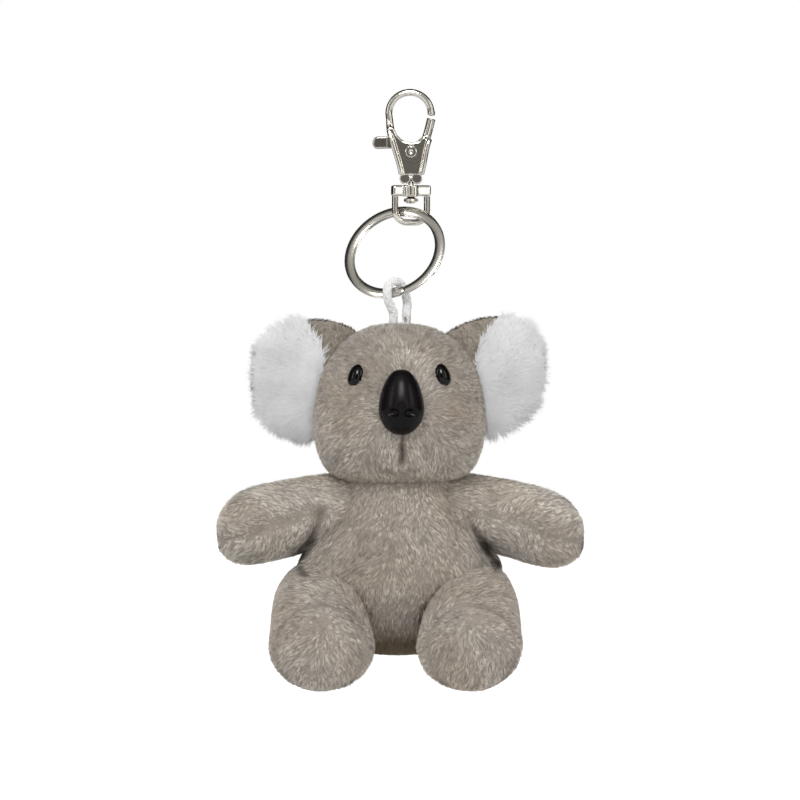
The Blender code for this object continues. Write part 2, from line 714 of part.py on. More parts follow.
def soft_cage(name, stations, across, along, sides):
    """A coarse closed cage: a ring of points at each station, whose rows are (centre, half across, half along)."""
    shape = bmesh.new()
    loops = []
    for centre, half_across, half_along in stations:
        loop = []
        for step in range(sides):
            angle = 2 * math.pi * step / sides
            reach = across * (half_across * math.cos(angle)) + along * (half_along * math.sin(angle))
            loop.append(shape.verts.new(centre + reach * CAGE_SWELL_SHARE))
        loops.append(loop)
    for first, second in zip(loops, loops[1:]):
        for i in range(sides):
            j = (i + 1) % sides
            shape.faces.new((first[i], first[j], second[j], second[i]))
    shape.faces.new(loops[0])
    shape.faces.new(loops[-1])
    bmesh.ops.recalc_face_normals(shape, faces=shape.faces)
    mesh = bpy.data.meshes.new(name + "_cage")
    shape.to_mesh(mesh)
    shape.free()
    return mesh


def soft_piece(name, cage, home, swell=0.0, wall=0.0, turn=None):
    """The smooth form of a cage, swollen or drawn in, or made a skin of this wall."""
    obj = bpy.data.objects.new(name, cage.copy())
    home.objects.link(obj)
    if turn is not None:
        obj.matrix_world = turn
    smooth = obj.modifiers.new("smooth", "SUBSURF")
    smooth.levels = 1
    smooth.render_levels = 1
    if swell:
        offset = obj.modifiers.new("swell", "DISPLACE")
        offset.strength = swell
        offset.mid_level = 0
    if wall:
        skin = obj.modifiers.new("skin", "SOLIDIFY")
        skin.thickness = wall
        skin.offset = -1
    return hide_cutter(obj) if home is CUTTERS else obj


def turned_about(place, axis, angle):
    return Matrix.Translation(place) @ Matrix.Rotation(angle, 4, axis) @ Matrix.Translation(-place)


def swept_cutters(name, cage, place, axis, angles, clearance=GAP):
    """Copies of a form, swollen by the clearance and turned to where it comes as a joint turns."""
    return [
        soft_piece(f"{name}_{step}", cage, CUTTERS, clearance, 0.0, turned_about(place, axis, angle))
        for step, angle in enumerate(angles)
    ]


def skin_and_stuffing(name, cage, cutters, colour):
    """The skin of a form and the stuffing inside it, both cut alike."""
    skin = soft_piece(name + "_skin", cage, PARTS, 0.0, SKIN)
    stuffing = soft_piece(name + "_stuffing", cage, PARTS, -SKIN - GAP)
    for cutter in cutters:
        combine(skin, cutter)
        combine(stuffing, cutter)
    finish_part(skin, colour, 0.95)
    finish_part(stuffing, STUFFING, 0.95)
    return skin, stuffing


def upright_stations(shares, top, width, depth, height, forward):
    """Stations down Z of a form whose rows are shares of its height, width, depth and depth."""
    return [
        (
            KOALA_SHIFT + Vector((0, -forward - shift * depth, -top - drop * height)),
            across * width / 2,
            along * depth / 2,
        )
        for drop, across, along, shift in shares
    ]


def head_cage():
    stations = upright_stations(HEAD_SHARES, HEAD_TOP_DROP, HEAD_WIDTH, HEAD_DEPTH, HEAD_HEIGHT, HEAD_FORWARD)
    return soft_cage("head", stations, X_AXIS, Y_AXIS, RING_SIDES)


def torso_cage():
    stations = upright_stations(
        TORSO_SHARES, TORSO_TOP_DROP, TORSO_WIDTH, TORSO_DEPTH, TORSO_HEIGHT, TORSO_FORWARD
    )
    return soft_cage("torso", stations, X_AXIS, Y_AXIS, RING_SIDES)


def arm_cage(side):
    sign = SIDES[side]
    stations = [
        (
            KOALA_SHIFT
            + Vector((sign * reach * ARM_REACH, -ARM_FORWARD, -ARM_ROOT_DROP - fall * ARM_TIP_DROP[side])),
            along * ARM_DEPTH / 2,
            tall * ARM_HEIGHT / 2,
        )
        for reach, tall, along, fall in ARM_SHARES
    ]
    return soft_cage("arm_" + side, stations, Y_AXIS, Z_AXIS, LIMB_RING_SIDES)


def leg_cage(side):
    sign = SIDES[side]
    stations = [
        (
            KOALA_SHIFT
            + Vector((sign * LEG_SPREAD, -LEG_BACK - reach * LEG_LENGTH, -LEG_HIP_DROP - fall * LEG_FALL)),
            wide * LEG_WIDTH / 2,
            tall * LEG_HEIGHT / 2,
        )
        for reach, wide, tall, fall in LEG_SHARES
    ]
    return soft_cage("leg_" + side, stations, X_AXIS, Z_AXIS, LIMB_RING_SIDES)


def ear_cage(side):
    sign = SIDES[side]
    stations = [
        (
            KOALA_SHIFT + Vector((sign * (EAR_SPREAD + reach * EAR_WIDTH), -EAR_FORWARD, -EAR_DROP)),
            share * EAR_DEPTH / 2,
            share * EAR_HEIGHT / 2,
        )
        for reach, share in EAR_SHARES
    ]
    return soft_cage("ear_" + side, stations, Y_AXIS, Z_AXIS, LIMB_RING_SIDES)


def shoulder_place(side):
    spread = TORSO_WIDTH / 2 * TORSO_SHARES[2][1]
    fall = ARM_SHARES[1][3] * ARM_TIP_DROP[side]
    return KOALA_SHIFT + Vector((SIDES[side] * spread, -ARM_FORWARD, -ARM_ROOT_DROP - fall))


def hip_place(side):
    return KOALA_SHIFT + Vector((SIDES[side] * LEG_SPREAD, -TORSO_FORWARD - TORSO_DEPTH / 4, -LEG_HIP_DROP))


def ear_root(side):
    """The middle and the direction of the seam that joins an ear to the head."""
    sign = SIDES[side]
    top = KOALA_SHIFT + Vector((sign * EAR_ROOT_TOP[0], -EAR_FORWARD, -EAR_ROOT_TOP[1]))
    bottom = KOALA_SHIFT + Vector((sign * EAR_ROOT_BOTTOM[0], -EAR_FORWARD, -EAR_ROOT_BOTTOM[1]))
    return (top + bottom) / 2, (top - bottom).normalized()


def surface_at(form, x, z):
    """The point and the outward normal of a form's front at this X and Z."""
    bpy.context.view_layer.update()
    tree = BVHTree.FromObject(form, bpy.context.evaluated_depsgraph_get())
    place, normal, _, _ = tree.ray_cast(Vector((x, -HEAD_DEPTH - HEAD_WIDTH, z)), Y_AXIS)
    return place, normal


def make_eye(side, form):
    """A domed eye whose shank passes through the skin, its washer, and where the shank enters and points."""
    x = KOALA_SIDE_SHIFT + SIDES[side] * EYE_SPREAD
    place, normal = surface_at(form, x, -EYE_DROP)
    seat = place + normal * 2 * GAP
    radius = EYE_DIAMETER / 2
    dome_points = 5
    profile = []
    for step in range(dome_points + 1):
        angle = math.pi / 2 * (1 - step / dome_points)
        profile.append((radius * math.cos(angle), EYE_DOME * math.sin(angle)))
    profile[0] = (0, EYE_DOME)
    profile += [(SHANK_DIAMETER / 2, 0), (SHANK_DIAMETER / 2, -SHANK_LENGTH), (0, -SHANK_LENGTH)]
    eye = turned("eye_" + side, profile, seat, normal, PARTS, 12)
    washer = make_washer("eye_washer_" + side, place, normal)
    return finish_part(eye, GLOSS_BLACK, 0.06), washer, place, normal


def make_washer(name, place, normal):
    """The washer that is pressed on a shank inside the skin."""
    bore = SHANK_DIAMETER / 2 + GAP
    rim = WASHER_DIAMETER / 2
    top = -SKIN - WASHER_SEAT
    bottom = top - WASHER_THICKNESS
    profile = [(bore, top), (rim, top), (rim, bottom), (bore, bottom), (bore, top)]
    return finish_part(turned(name, profile, place, normal, PARTS, 12), CLEAR_PLASTIC, 0.4)


def shank_cutters(name, place, normal):
    """The hole for a shank in the skin, and the pocket for its washer in the stuffing."""
    hole_length = SHANK_LENGTH + OVERRUN
    hole = rod(name + "_hole", place, normal, SHANK_DIAMETER + 2 * GAP, 2 * hole_length, CUTTERS, 16)
    pocket_diameter = WASHER_DIAMETER + 4 * GAP
    pocket = rod(name + "_pocket", place, normal, pocket_diameter, 2 * (SHANK_LENGTH + 2 * GAP), CUTTERS, 16)
    return hole, pocket


def nose_cage(place):
    stations = [
        (
            Vector((place.x, place.y, -NOSE_DROP + (0.5 - drop) * NOSE_HEIGHT)),
            share * NOSE_WIDTH / 2,
            share * NOSE_DEPTH / 2,
        )
        for drop, share in NOSE_SHARES
    ]
    return soft_cage("nose", stations, X_AXIS, Y_AXIS, RING_SIDES)


def make_head(cage, knot_cutter):
    """The head's skin and stuffing with the eyes, the nose and their washers."""
    form = soft_piece("head_form", cage, CUTTERS)
    skin, stuffing = skin_and_stuffing("head", cage, [knot_cutter], PLUSH)
    pieces = [skin, stuffing]
    for side in SIDES:
        eye, washer, place, normal = make_eye(side, form)
        hole, pocket = shank_cutters("eye_" + side, place, normal)
        combine(skin, hole)
        combine(stuffing, pocket)
        pieces += [eye, washer]
    place, normal = surface_at(form, KOALA_SIDE_SHIFT + NOSE_SHIFT, -NOSE_DROP)
    nose = soft_piece("nose", nose_cage(place), PARTS)
    combine(nose, soft_piece("head_behind_nose", cage, CUTTERS, GAP))
    shank = rod(
        "nose_shank",
        place + normal * NOSE_DEPTH / 4 - normal * SHANK_LENGTH / 2,
        normal,
        SHANK_DIAMETER,
        SHANK_LENGTH + NOSE_DEPTH / 2,
        CUTTERS,
        16,
    )
    combine(nose, shank, "UNION")
    hole, pocket = shank_cutters("nose", place, normal)
    combine(skin, hole)
    combine(stuffing, pocket)
    finish_part(nose, GLOSS_BLACK, 0.3)
    return pieces + [nose, make_washer("nose_washer", place, normal)]


def make_ear(side, head):
    """The grey back and the white front of an ear, cut by the head as far as the ear flaps."""
    root, seam = ear_root(side)
    cage = ear_cage(side)
    heads = swept_cutters("head_at_ear_" + side, head, root, seam, (-EAR_FLAP, 0.0, EAR_FLAP))
    pieces = []
    for name, sign in (("ear_back_", -1), ("ear_front_", 1)):
        piece = soft_piece(name + side, cage, PARTS)
        for cutter in heads:
            combine(piece, cutter)
        other_half = block(
            name + side + "_other_half",
            Vector((root.x, -EAR_FORWARD + sign * (EAR_DEPTH - GAP) / 2, root.z)),
            (3 * EAR_WIDTH, EAR_DEPTH, 2 * EAR_HEIGHT),
            CUTTERS,
        )
        combine(piece, other_half)
        pieces.append(finish_part(piece, PLUSH if sign < 0 else PALE_PLUSH, 0.95))
    return pieces


def make_arm(side, torso, head):
    """An arm's skin and stuffing, cut by the torso through the arm's lift and kept clear of the head."""
    place = shoulder_place(side)
    lift_axis = -Y_AXIS * SIDES[side]
    torsos = swept_cutters(
        "torso_at_arm_" + side, torso, place, lift_axis, (-ARM_LIFT, -ARM_LIFT / 2, 0.0, ARM_FALL)
    )
    heads = swept_cutters("head_at_arm_" + side, head, place, lift_axis, (-ARM_LIFT, ARM_FALL), 5 * GAP)
    return skin_and_stuffing("arm_" + side, arm_cage(side), torsos + heads, PLUSH)


def make_leg(side, torso):
    """A leg's skin and stuffing, cut by the torso through the leg's lift and flat for its sole, and the sole."""
    place = hip_place(side)
    torsos = swept_cutters(
        "torso_at_leg_" + side, torso, place, -X_AXIS, (-LEG_LIFT, -LEG_LIFT / 2, 0.0, LEG_FALL_BACK)
    )
    sole_middle = KOALA_SHIFT + Vector(
        (SIDES[side] * LEG_SPREAD, -LEG_BACK - LEG_LENGTH, -LEG_HIP_DROP - LEG_FALL)
    )
    half_space = (2 * LEG_WIDTH, LEG_WIDTH, 2 * LEG_WIDTH)
    front = block("leg_front_" + side, sole_middle - Y_AXIS * LEG_WIDTH / 2, half_space, CUTTERS)
    skin, stuffing = skin_and_stuffing("leg_" + side, leg_cage(side), [*torsos, front], PLUSH)
    stations = [
        (
            sole_middle - Y_AXIS * (GAP + depth * SOLE_DEPTH),
            share * LEG_WIDTH / 2,
            share * LEG_HEIGHT / 2,
        )
        for depth, share in SOLE_SHARES
    ]
    sole = soft_piece("sole_" + side, soft_cage("sole_" + side, stations, X_AXIS, Z_AXIS, RING_SIDES), PARTS)
    back = block("sole_back_" + side, sole_middle + Y_AXIS * (LEG_WIDTH / 2 - GAP), half_space, CUTTERS)
    combine(sole, back)
    return [skin, stuffing, finish_part(sole, PLUSH, 0.95)]


def hang_on(name, place, pieces, parent=None):
    """An empty on a joint's axis, which carries the pieces that turn with it."""
    joint = bpy.data.objects.new(name, None)
    PARTS.objects.link(joint)
    joint.matrix_world = Matrix.Translation(place)
    bpy.context.view_layer.update()
    for piece in pieces:
        world = piece.matrix_world.copy()
        piece.parent = joint
        piece.matrix_parent_inverse = Matrix.Translation(-place)
        piece.matrix_world = world
    if parent is not None:
        joint.parent = parent
        joint.matrix_parent_inverse = parent.matrix_world.inverted()
    bpy.context.view_layer.update()
    return joint


def make_koala():
    """Every sub-part, hung on the empties of the chain of joints."""
    hang_on("hook", Vector(), [make_hook_body(), make_gate_pin(), make_swivel_post()])
    hang_on("gate", PIN_PLACE, [make_gate_lever(), make_gate_spring()])
    stirrup = hang_on("stirrup", SWIVEL_PLACE, [make_stirrup()])
    ring = hang_on("ring", RING_PIVOT, [make_split_ring()], stirrup)
    cord = hang_on("cord", CORD_PIVOT, [make_cord_loop()], ring)
    knot = finish_part(make_cord_knot("cord_knot", PARTS), CORD_WHITE, 0.9)
    head = head_cage()
    head_pieces = make_head(head, make_cord_knot("knot_pocket", CUTTERS, GAP))
    crown = hang_on("head", CROWN_PLACE, [knot, *head_pieces], cord)
    torso = torso_cage()
    nods = (-NECK_NOD, 0.0, NECK_NOD)
    heads = swept_cutters("head_at_neck", head, NECK_PLACE, X_AXIS, nods)
    neck = hang_on("torso", NECK_PLACE, skin_and_stuffing("torso", torso, heads, PLUSH), crown)
    for side in SIDES:
        hang_on("ear_" + side + "_root", ear_root(side)[0], make_ear(side, head), crown)
        hang_on("arm_" + side + "_root", shoulder_place(side), make_arm(side, torso, head), neck)
        hang_on("leg_" + side + "_root", hip_place(side), make_leg(side, torso), neck)


make_koala()
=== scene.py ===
# %% [markdown]
# # A plush koala that hangs from a swivel snap clasp
#
# This notebook dresses a measured model of a small soft toy. The metal clasp, the split ring and the joints
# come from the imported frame. The stuffed forms, the pile, the eyes, the nose and the cord are made here, each
# in the place that its plain solid holds.

import math

import bmesh
import bpy
import numpy as np
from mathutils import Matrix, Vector
from mathutils.bvhtree import BVHTree
from mathutils.kdtree import KDTree


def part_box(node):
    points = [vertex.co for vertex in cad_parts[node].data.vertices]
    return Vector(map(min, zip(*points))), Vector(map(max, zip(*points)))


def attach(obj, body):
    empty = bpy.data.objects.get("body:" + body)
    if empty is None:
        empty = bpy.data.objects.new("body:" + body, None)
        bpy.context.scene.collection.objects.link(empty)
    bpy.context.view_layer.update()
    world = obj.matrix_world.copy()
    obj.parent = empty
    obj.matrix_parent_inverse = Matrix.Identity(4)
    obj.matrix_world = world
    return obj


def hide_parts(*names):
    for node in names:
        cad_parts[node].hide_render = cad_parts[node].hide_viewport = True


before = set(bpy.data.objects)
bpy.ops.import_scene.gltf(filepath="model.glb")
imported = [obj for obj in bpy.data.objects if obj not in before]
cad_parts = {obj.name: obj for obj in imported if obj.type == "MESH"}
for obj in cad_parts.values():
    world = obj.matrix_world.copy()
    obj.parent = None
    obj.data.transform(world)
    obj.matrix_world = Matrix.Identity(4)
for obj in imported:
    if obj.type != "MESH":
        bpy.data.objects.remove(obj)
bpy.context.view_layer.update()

# %% [markdown]
# ## Measures that several steps share
#
# The real toy is measured in millimetres, and Blender works in metres, so every table below is written in
# millimetres and multiplied once. The koala hangs a little to one side of the clasp, and its own left side
# is on the viewer's right.

# %% Shared measures
MM = 0.001
KOALA_MIDDLE = -3.26
KOALA_AXIS = KOALA_MIDDLE * MM
SIDES = {"left": 1, "right": -1}
X_AXIS = Vector((1, 0, 0))
Y_AXIS = Vector((0, 1, 0))
Z_AXIS = Vector((0, 0, 1))
print("the koala hangs", -KOALA_MIDDLE, "mm to the left of the clasp in the picture")

# %% [markdown]
# ## Tools that every piece shares
#
# Nearly every piece is skinned over loops of points. A few small helpers do that work: one places points
# round an ellipse, one lays faces between loops, and one turns the result into a mesh.


# %% Mesh helpers
def new_object(name, data):
    """Puts a mesh, a lamp or a camera into the scene."""
    obj = bpy.data.objects.new(name, data)
    bpy.context.scene.collection.objects.link(obj)
    return obj


def round_loop(shape, centre, across, up, count):
    """New points of a bmesh round an ellipse with these two half axes."""
    turns = [2 * math.pi * i / count for i in range(count)]
    return [shape.verts.new(centre + across * math.cos(turn) + up * math.sin(turn)) for turn in turns]


def skin_loops(shape, loops, capped=True):
    """Lays faces between loops of points, and over both ends."""
    for first, second in zip(loops, loops[1:]):
        for i in range(len(first)):
            j = (i + 1) % len(first)
            shape.faces.new((first[i], first[j], second[j], second[i]))
    if capped:
        shape.faces.new(loops[0])
        shape.faces.new(loops[-1])


def finished_mesh(name, shape):
    """Turns a bmesh into a mesh whose faces look outwards."""
    bmesh.ops.recalc_face_normals(shape, faces=shape.faces)
    mesh = bpy.data.meshes.new(name)
    shape.to_mesh(mesh)
    shape.free()
    return mesh


print("mesh helpers: 4")

# %% [markdown]
# ## The camera
#
# The toy was photographed square from the front, from so far away that nothing converges. A long lens two
# metres off gives the same flat view: one millimetre of the toy covers three and a half pixels.

# %% Camera
VIEW_WIDTH = 228.57 * MM
VIEW_DISTANCE = 2.0
SENSOR_WIDTH = 36.0

camera_data = bpy.data.cameras.new("camera")
camera_data.sensor_width = SENSOR_WIDTH
camera_data.lens = SENSOR_WIDTH * VIEW_DISTANCE / VIEW_WIDTH
camera_data.clip_end = 20.0
camera = new_object("camera", camera_data)
camera.location = (-3.14 * MM, -VIEW_DISTANCE, -86.86 * MM)
camera.rotation_euler = (math.radians(90), 0, 0)
bpy.context.scene.camera = camera
print("lens:", round(camera_data.lens), "mm")

# %% [markdown]
# ## Floor, backdrop and light
#
# The photograph has a plain white ground. The world is white where the camera or a reflection sees it, and
# a soft grey dome, brighter above than below, where it lights the toy. A pale floor lies below the feet.
# One large lamp above the front gives the pile its soft top light. Polished metal needs something dark to
# reflect, as in a photographer's studio, so a dark hood stands round the toy and a grey card before it. Two
# lighter bands lie between them, two bright strips draw the long lights on the metal, and a small window
# gives the eyes and the nose their highlight. Only reflections see them.


# %% World
def node_tree(owner):
    """The empty node tree of a material or a world, with a short way to add a node."""
    owner.use_nodes = True
    tree = owner.node_tree
    tree.nodes.clear()
    return tree


def add_node(tree, kind, **values):
    """A node of this kind. A value sets the property of that name, or else the input socket of that name."""
    node = tree.nodes.new(kind)
    for name, value in values.items():
        if hasattr(node, name):
            setattr(node, name, value)
        else:
            node.inputs[name.replace("_", " ")].default_value = value
    return node


SKY_ABOVE = 0.95
SKY_BELOW = 0.45

world = bpy.data.worlds.new("studio")
bpy.context.scene.world = world
sky = node_tree(world)
direction = add_node(sky, "ShaderNodeTexCoord")
height = add_node(sky, "ShaderNodeSeparateXYZ")
sky.links.new(direction.outputs["Generated"], height.inputs[0])
dome = add_node(sky, "ShaderNodeMapRange", From_Min=-1.0, To_Min=SKY_BELOW, To_Max=SKY_ABOVE)
sky.links.new(height.outputs["Z"], dome.inputs["Value"])
light_path = add_node(sky, "ShaderNodeLightPath")
seen = add_node(sky, "ShaderNodeMath", operation="ADD", use_clamp=True)
sky.links.new(light_path.outputs["Is Camera Ray"], seen.inputs[0])
mirrored = add_node(sky, "ShaderNodeMath", operation="ADD", use_clamp=True)
sky.links.new(light_path.outputs["Is Glossy Ray"], mirrored.inputs[0])
sky.links.new(light_path.outputs["Is Transmission Ray"], mirrored.inputs[1])
sky.links.new(mirrored.outputs[0], seen.inputs[1])
level = add_node(sky, "ShaderNodeMix", data_type="FLOAT")
sky.links.new(seen.outputs[0], level.inputs["Factor"])
sky.links.new(dome.outputs["Result"], level.inputs[2])
level.inputs[3].default_value = 1.0
background = add_node(sky, "ShaderNodeBackground")
background.inputs["Color"].default_value = (1, 1, 1, 1)
sky.links.new(level.outputs[0], background.inputs["Strength"])
world_out = add_node(sky, "ShaderNodeOutputWorld")
sky.links.new(background.outputs[0], world_out.inputs["Surface"])
print("sky:", SKY_BELOW, "to", SKY_ABOVE)


# %% Floor
def sheet_object(name, corners):
    """One flat face through these corners."""
    mesh = bpy.data.meshes.new(name)
    mesh.from_pydata([Vector(corner) for corner in corners], [], [tuple(range(len(corners)))])
    return new_object(name, mesh)


FLOOR_LEVEL = -0.205
FLOOR_REACH = 6.0
FLOOR_GLOW = 0.62

floor_corners = ((-1, -1), (1, -1), (1, 1), (-1, 1))
floor = sheet_object("floor", [(x * FLOOR_REACH, y * FLOOR_REACH, FLOOR_LEVEL) for x, y in floor_corners])
floor_paint = bpy.data.materials.new("white_floor")
tree = node_tree(floor_paint)
matt = add_node(tree, "ShaderNodeBsdfDiffuse", Color=(0.80, 0.80, 0.80, 1))
glow = add_node(tree, "ShaderNodeEmission", Color=(1, 1, 1, 1), Strength=FLOOR_GLOW)
both = add_node(tree, "ShaderNodeAddShader")
tree.links.new(matt.outputs[0], both.inputs[0])
tree.links.new(glow.outputs[0], both.inputs[1])
seen_by = add_node(tree, "ShaderNodeLightPath")
choose = add_node(tree, "ShaderNodeMixShader")
tree.links.new(seen_by.outputs["Is Camera Ray"], choose.inputs["Fac"])
tree.links.new(matt.outputs[0], choose.inputs[1])
tree.links.new(both.outputs[0], choose.inputs[2])
floor_out = add_node(tree, "ShaderNodeOutputMaterial")
tree.links.new(choose.outputs[0], floor_out.inputs["Surface"])
floor.data.materials.append(floor_paint)
print("floor at", FLOOR_LEVEL)

# %% Cards that only reflections see
HOOD_RADIUS = 1.2
HOOD_SIDES = 48
CARD_BANDS = {
    "front_card": ((0.0, 11.0, 22.0), 0.15),
    "inner_band": ((34.0, 45.0), 0.10),
    "light_band": ((45.0, 62.0), 0.62),
    "outer_band": ((62.0, 80.0), 0.40),
    "dark_hood": ((80.0, 110.0, 140.0, 163.0), 0.03),
    "back_card": ((163.0, 171.0, 179.0), 0.16),
}


def reflections_only(card):
    """Hides a card of the stage from everything but reflections."""
    for ray in ("camera", "diffuse", "transmission", "shadow", "volume_scatter"):
        setattr(card, "visible_" + ray, False)


def reflected_card(name, angles, paint):
    """Bands round the viewing direction at these angles from it, which only reflections see."""
    shape = bmesh.new()
    loops = []
    for angle in angles:
        out = HOOD_RADIUS * math.sin(math.radians(angle))
        middle = TOY_MIDDLE - Y_AXIS * HOOD_RADIUS * math.cos(math.radians(angle))
        loops.append(round_loop(shape, middle, X_AXIS * out, Z_AXIS * out, HOOD_SIDES))
    skin_loops(shape, loops, capped=False)
    card = new_object(name, finished_mesh(name, shape))
    card.data.materials.append(paint)
    reflections_only(card)


CARD_TINT = (1.0, 0.96, 0.9)
WINDOW_SHARE = 0.95


def card_glow_paint(name, grey):
    """A paint that glows evenly, as grey as the card is meant to look."""
    paint = bpy.data.materials.new(name)
    tree = node_tree(paint)
    colour = (*(grey * share for share in CARD_TINT), 1)
    card_glow = add_node(tree, "ShaderNodeEmission", Color=colour, Strength=1.0)
    card_out = add_node(tree, "ShaderNodeOutputMaterial")
    tree.links.new(card_glow.outputs[0], card_out.inputs["Surface"])
    return paint


TOY_MIDDLE = Vector((KOALA_AXIS, -10 * MM, -110 * MM))
for name, (angles, grey) in CARD_BANDS.items():
    reflected_card(name, angles, card_glow_paint(name + "_paint", grey))


def bright_card(name, turn, spread, low, high, glow):
    """A small window that only reflections see, by its turn, half spread and rise in degrees."""
    corners = []
    for aside, rise in ((-spread, low), (spread, low), (spread, high), (-spread, high)):
        around, up = math.radians(turn + aside), math.radians(rise)
        ray = Vector((math.sin(around) * math.cos(up), -math.cos(around) * math.cos(up), math.sin(up)))
        corners.append(TOY_MIDDLE + ray * WINDOW_SHARE * HOOD_RADIUS)
    card = sheet_object(name, corners)
    card.data.materials.append(card_glow_paint(name + "_paint", glow))
    reflections_only(card)


BRIGHT_CARDS = {
    "strip_west": (-54.0, 5.0, 4.0, 38.0, 4.0),
    "strip_east": (54.0, 5.0, 4.0, 38.0, 4.0),
    "catch_window": (0.0, 12.0, 27.0, 48.0, 16.0),
}
for name, place in BRIGHT_CARDS.items():
    bright_card(name, *place)
print("cards:", len(CARD_BANDS) + len(BRIGHT_CARDS))


# %% Lamps
def soft_lamp(name, place, aim, size, power):
    """A square lamp that points from its place to its aim."""
    lamp = bpy.data.lights.new(name, "AREA")
    lamp.size = size
    lamp.energy = power
    obj = new_object(name, lamp)
    obj.location = place
    obj.rotation_euler = (Vector(aim) - Vector(place)).to_track_quat("-Z", "Y").to_euler()


soft_lamp("key_lamp", (-0.35, -1.10, 1.15), TOY_MIDDLE, 0.7, 11.0)
soft_lamp("fill_lamp", (0.9, -1.3, 0.1), TOY_MIDDLE, 0.9, 3.0)
bpy.context.scene.view_settings.view_transform = "Standard"
print("lamps: 2")

# %% [markdown]
# ## The cord loop
#
# The koala hangs from a short loop of white knitted cord. One end comes out of the crown, goes up through
# the split ring and comes down beside the other end. A plain tube would look like plastic. A knitted cord
# shows yarns that cross each other, so here eight yarns are laid round the route, four each way, each
# passing over and under the others. The whole loop with the ends inside the crown is about 34 mm long.

# %% Cord route
CORD_DIAMETER = 2.7 * MM
CORD_ROUTE = [
    Vector(point)
    for point in (
        (-0.00500, -0.01290, -0.06360),
        (-0.00500, -0.01290, -0.06220),
        (-0.00570, -0.01350, -0.06040),
        (-0.00655, -0.01430, -0.05830),
        (-0.00675, -0.01460, -0.05630),
        (-0.00640, -0.01390, -0.05440),
        (-0.00480, -0.01160, -0.05310),
        (-0.00305, -0.00960, -0.05380),
        (-0.00195, -0.00885, -0.05550),
        (-0.00140, -0.00880, -0.05750),
        (-0.00110, -0.00960, -0.05980),
        (-0.00130, -0.01110, -0.06220),
        (-0.00130, -0.01110, -0.06360),
    )
]
CORD_PLUNGE = 3.4 * MM


def smooth_route(points, count):
    """This many points along a smooth curve through a route's own points."""
    spots = [points[0] * 2 - points[1], *points, points[-1] * 2 - points[-2]]
    legs = len(points) - 1
    route = []
    for step in range(count):
        along = step * legs / (count - 1)
        leg = min(int(along), legs - 1)
        t = along - leg
        before, start, end, after = spots[leg : leg + 4]
        bend = (before * 2 - start * 5 + end * 4 - after) * t**2
        twist = (start * 3 - before - end * 3 + after) * t**3
        route.append((start * 2 + (end - before) * t + bend + twist) / 2)
    return route


cord_points = smooth_route(CORD_ROUTE, 36)
cord_path = [cord_points[0] - Z_AXIS * CORD_PLUNGE, *cord_points, cord_points[-1] - Z_AXIS * CORD_PLUNGE]


# %% [markdown]
# Each yarn is a thin tube on its own wavy line. A frame that doesn't twist is carried along the route, and
# the line turns round it as it goes, rising where it passes over another yarn and sinking where it passes
# under. A small helper then puts the cord on its body, and later every other piece on its own.


# %% Putting a piece on its body
def add_piece(name, mesh, body, material=None, nodes=()):
    """Puts a piece on its body, with its finish and the nodes of the frame that it stands for."""
    if material:
        mesh.materials.append(material)
    piece = new_object(name, mesh)
    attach(piece, body)
    if nodes:
        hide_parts(*nodes)
    return piece


# %% Yarns of the cord
def carried_frames(points):
    """At each point of a route, two directions square to it that don't twist along the way."""
    last = len(points) - 1
    headings = [(points[min(i + 1, last)] - points[max(i - 1, 0)]).normalized() for i in range(last + 1)]
    across = headings[0].cross(Y_AXIS).normalized()
    frames = []
    for heading in headings:
        across = (across - heading * across.dot(heading)).normalized()
        frames.append((heading, across, heading.cross(across)))
    return frames


def add_tube(shape, points, radius, sides=6):
    """A closed tube along points in a bmesh."""
    loops = []
    for point, (_, across, up) in zip(points, carried_frames(points)):
        loops.append(round_loop(shape, point, across * radius, up * radius, sides))
    skin_loops(shape, loops)


YARNS_EACH_WAY = 4
YARN_RADIUS = 0.42 * MM
YARN_WAVE = 0.06 * MM
CORD_TURNS = 3.2

fine_path = smooth_route(cord_path, 220)
fine_frames = carried_frames(fine_path)
cord_shape = bmesh.new()
core_radius = CORD_DIAMETER / 2 - 2 * YARN_RADIUS
add_tube(cord_shape, fine_path[::4], core_radius + 1.5 * YARN_RADIUS, 12)
for way in (1, -1):
    for yarn in range(YARNS_EACH_WAY):
        line = []
        for step, (point, (_, across, up)) in enumerate(zip(fine_path, fine_frames)):
            share = step / (len(fine_path) - 1)
            angle = way * 2 * math.pi * CORD_TURNS * share + 2 * math.pi * yarn / YARNS_EACH_WAY
            over = way * math.cos(2 * math.pi * CORD_TURNS * YARNS_EACH_WAY * share)
            reach = CORD_DIAMETER / 2 - YARN_RADIUS - YARN_WAVE * (1 - over)
            line.append(point + (across * math.cos(angle) + up * math.sin(angle)) * reach)
        add_tube(cord_shape, line, YARN_RADIUS)
cord_mesh = finished_mesh("cord_braid", cord_shape)
cord_mesh.shade_smooth()
cord_braid = add_piece("cord_braid", cord_mesh, "cord", nodes=("cord_loop",))
print("cord faces:", len(cord_mesh.polygons))

# %% [markdown]
# ## Shader helpers
#
# Several finishes share an effect: the small cloudy change of tone that handling, dye and dust leave. It is
# built once as a node group that puts out a mask and a height, and each material places it with its own scale
# and strength.


# %% Node groups
def new_group(name, inputs, outputs):
    """An empty node group whose sockets are named in order, as (name, kind, value)."""
    group = bpy.data.node_groups.new(name, "ShaderNodeTree")
    for label, kind, value in inputs:
        socket = group.interface.new_socket(label, in_out="INPUT", socket_type=kind)
        socket.default_value = value
    for label, kind in outputs:
        group.interface.new_socket(label, in_out="OUTPUT", socket_type=kind)
    return group, add_node(group, "NodeGroupInput"), add_node(group, "NodeGroupOutput")


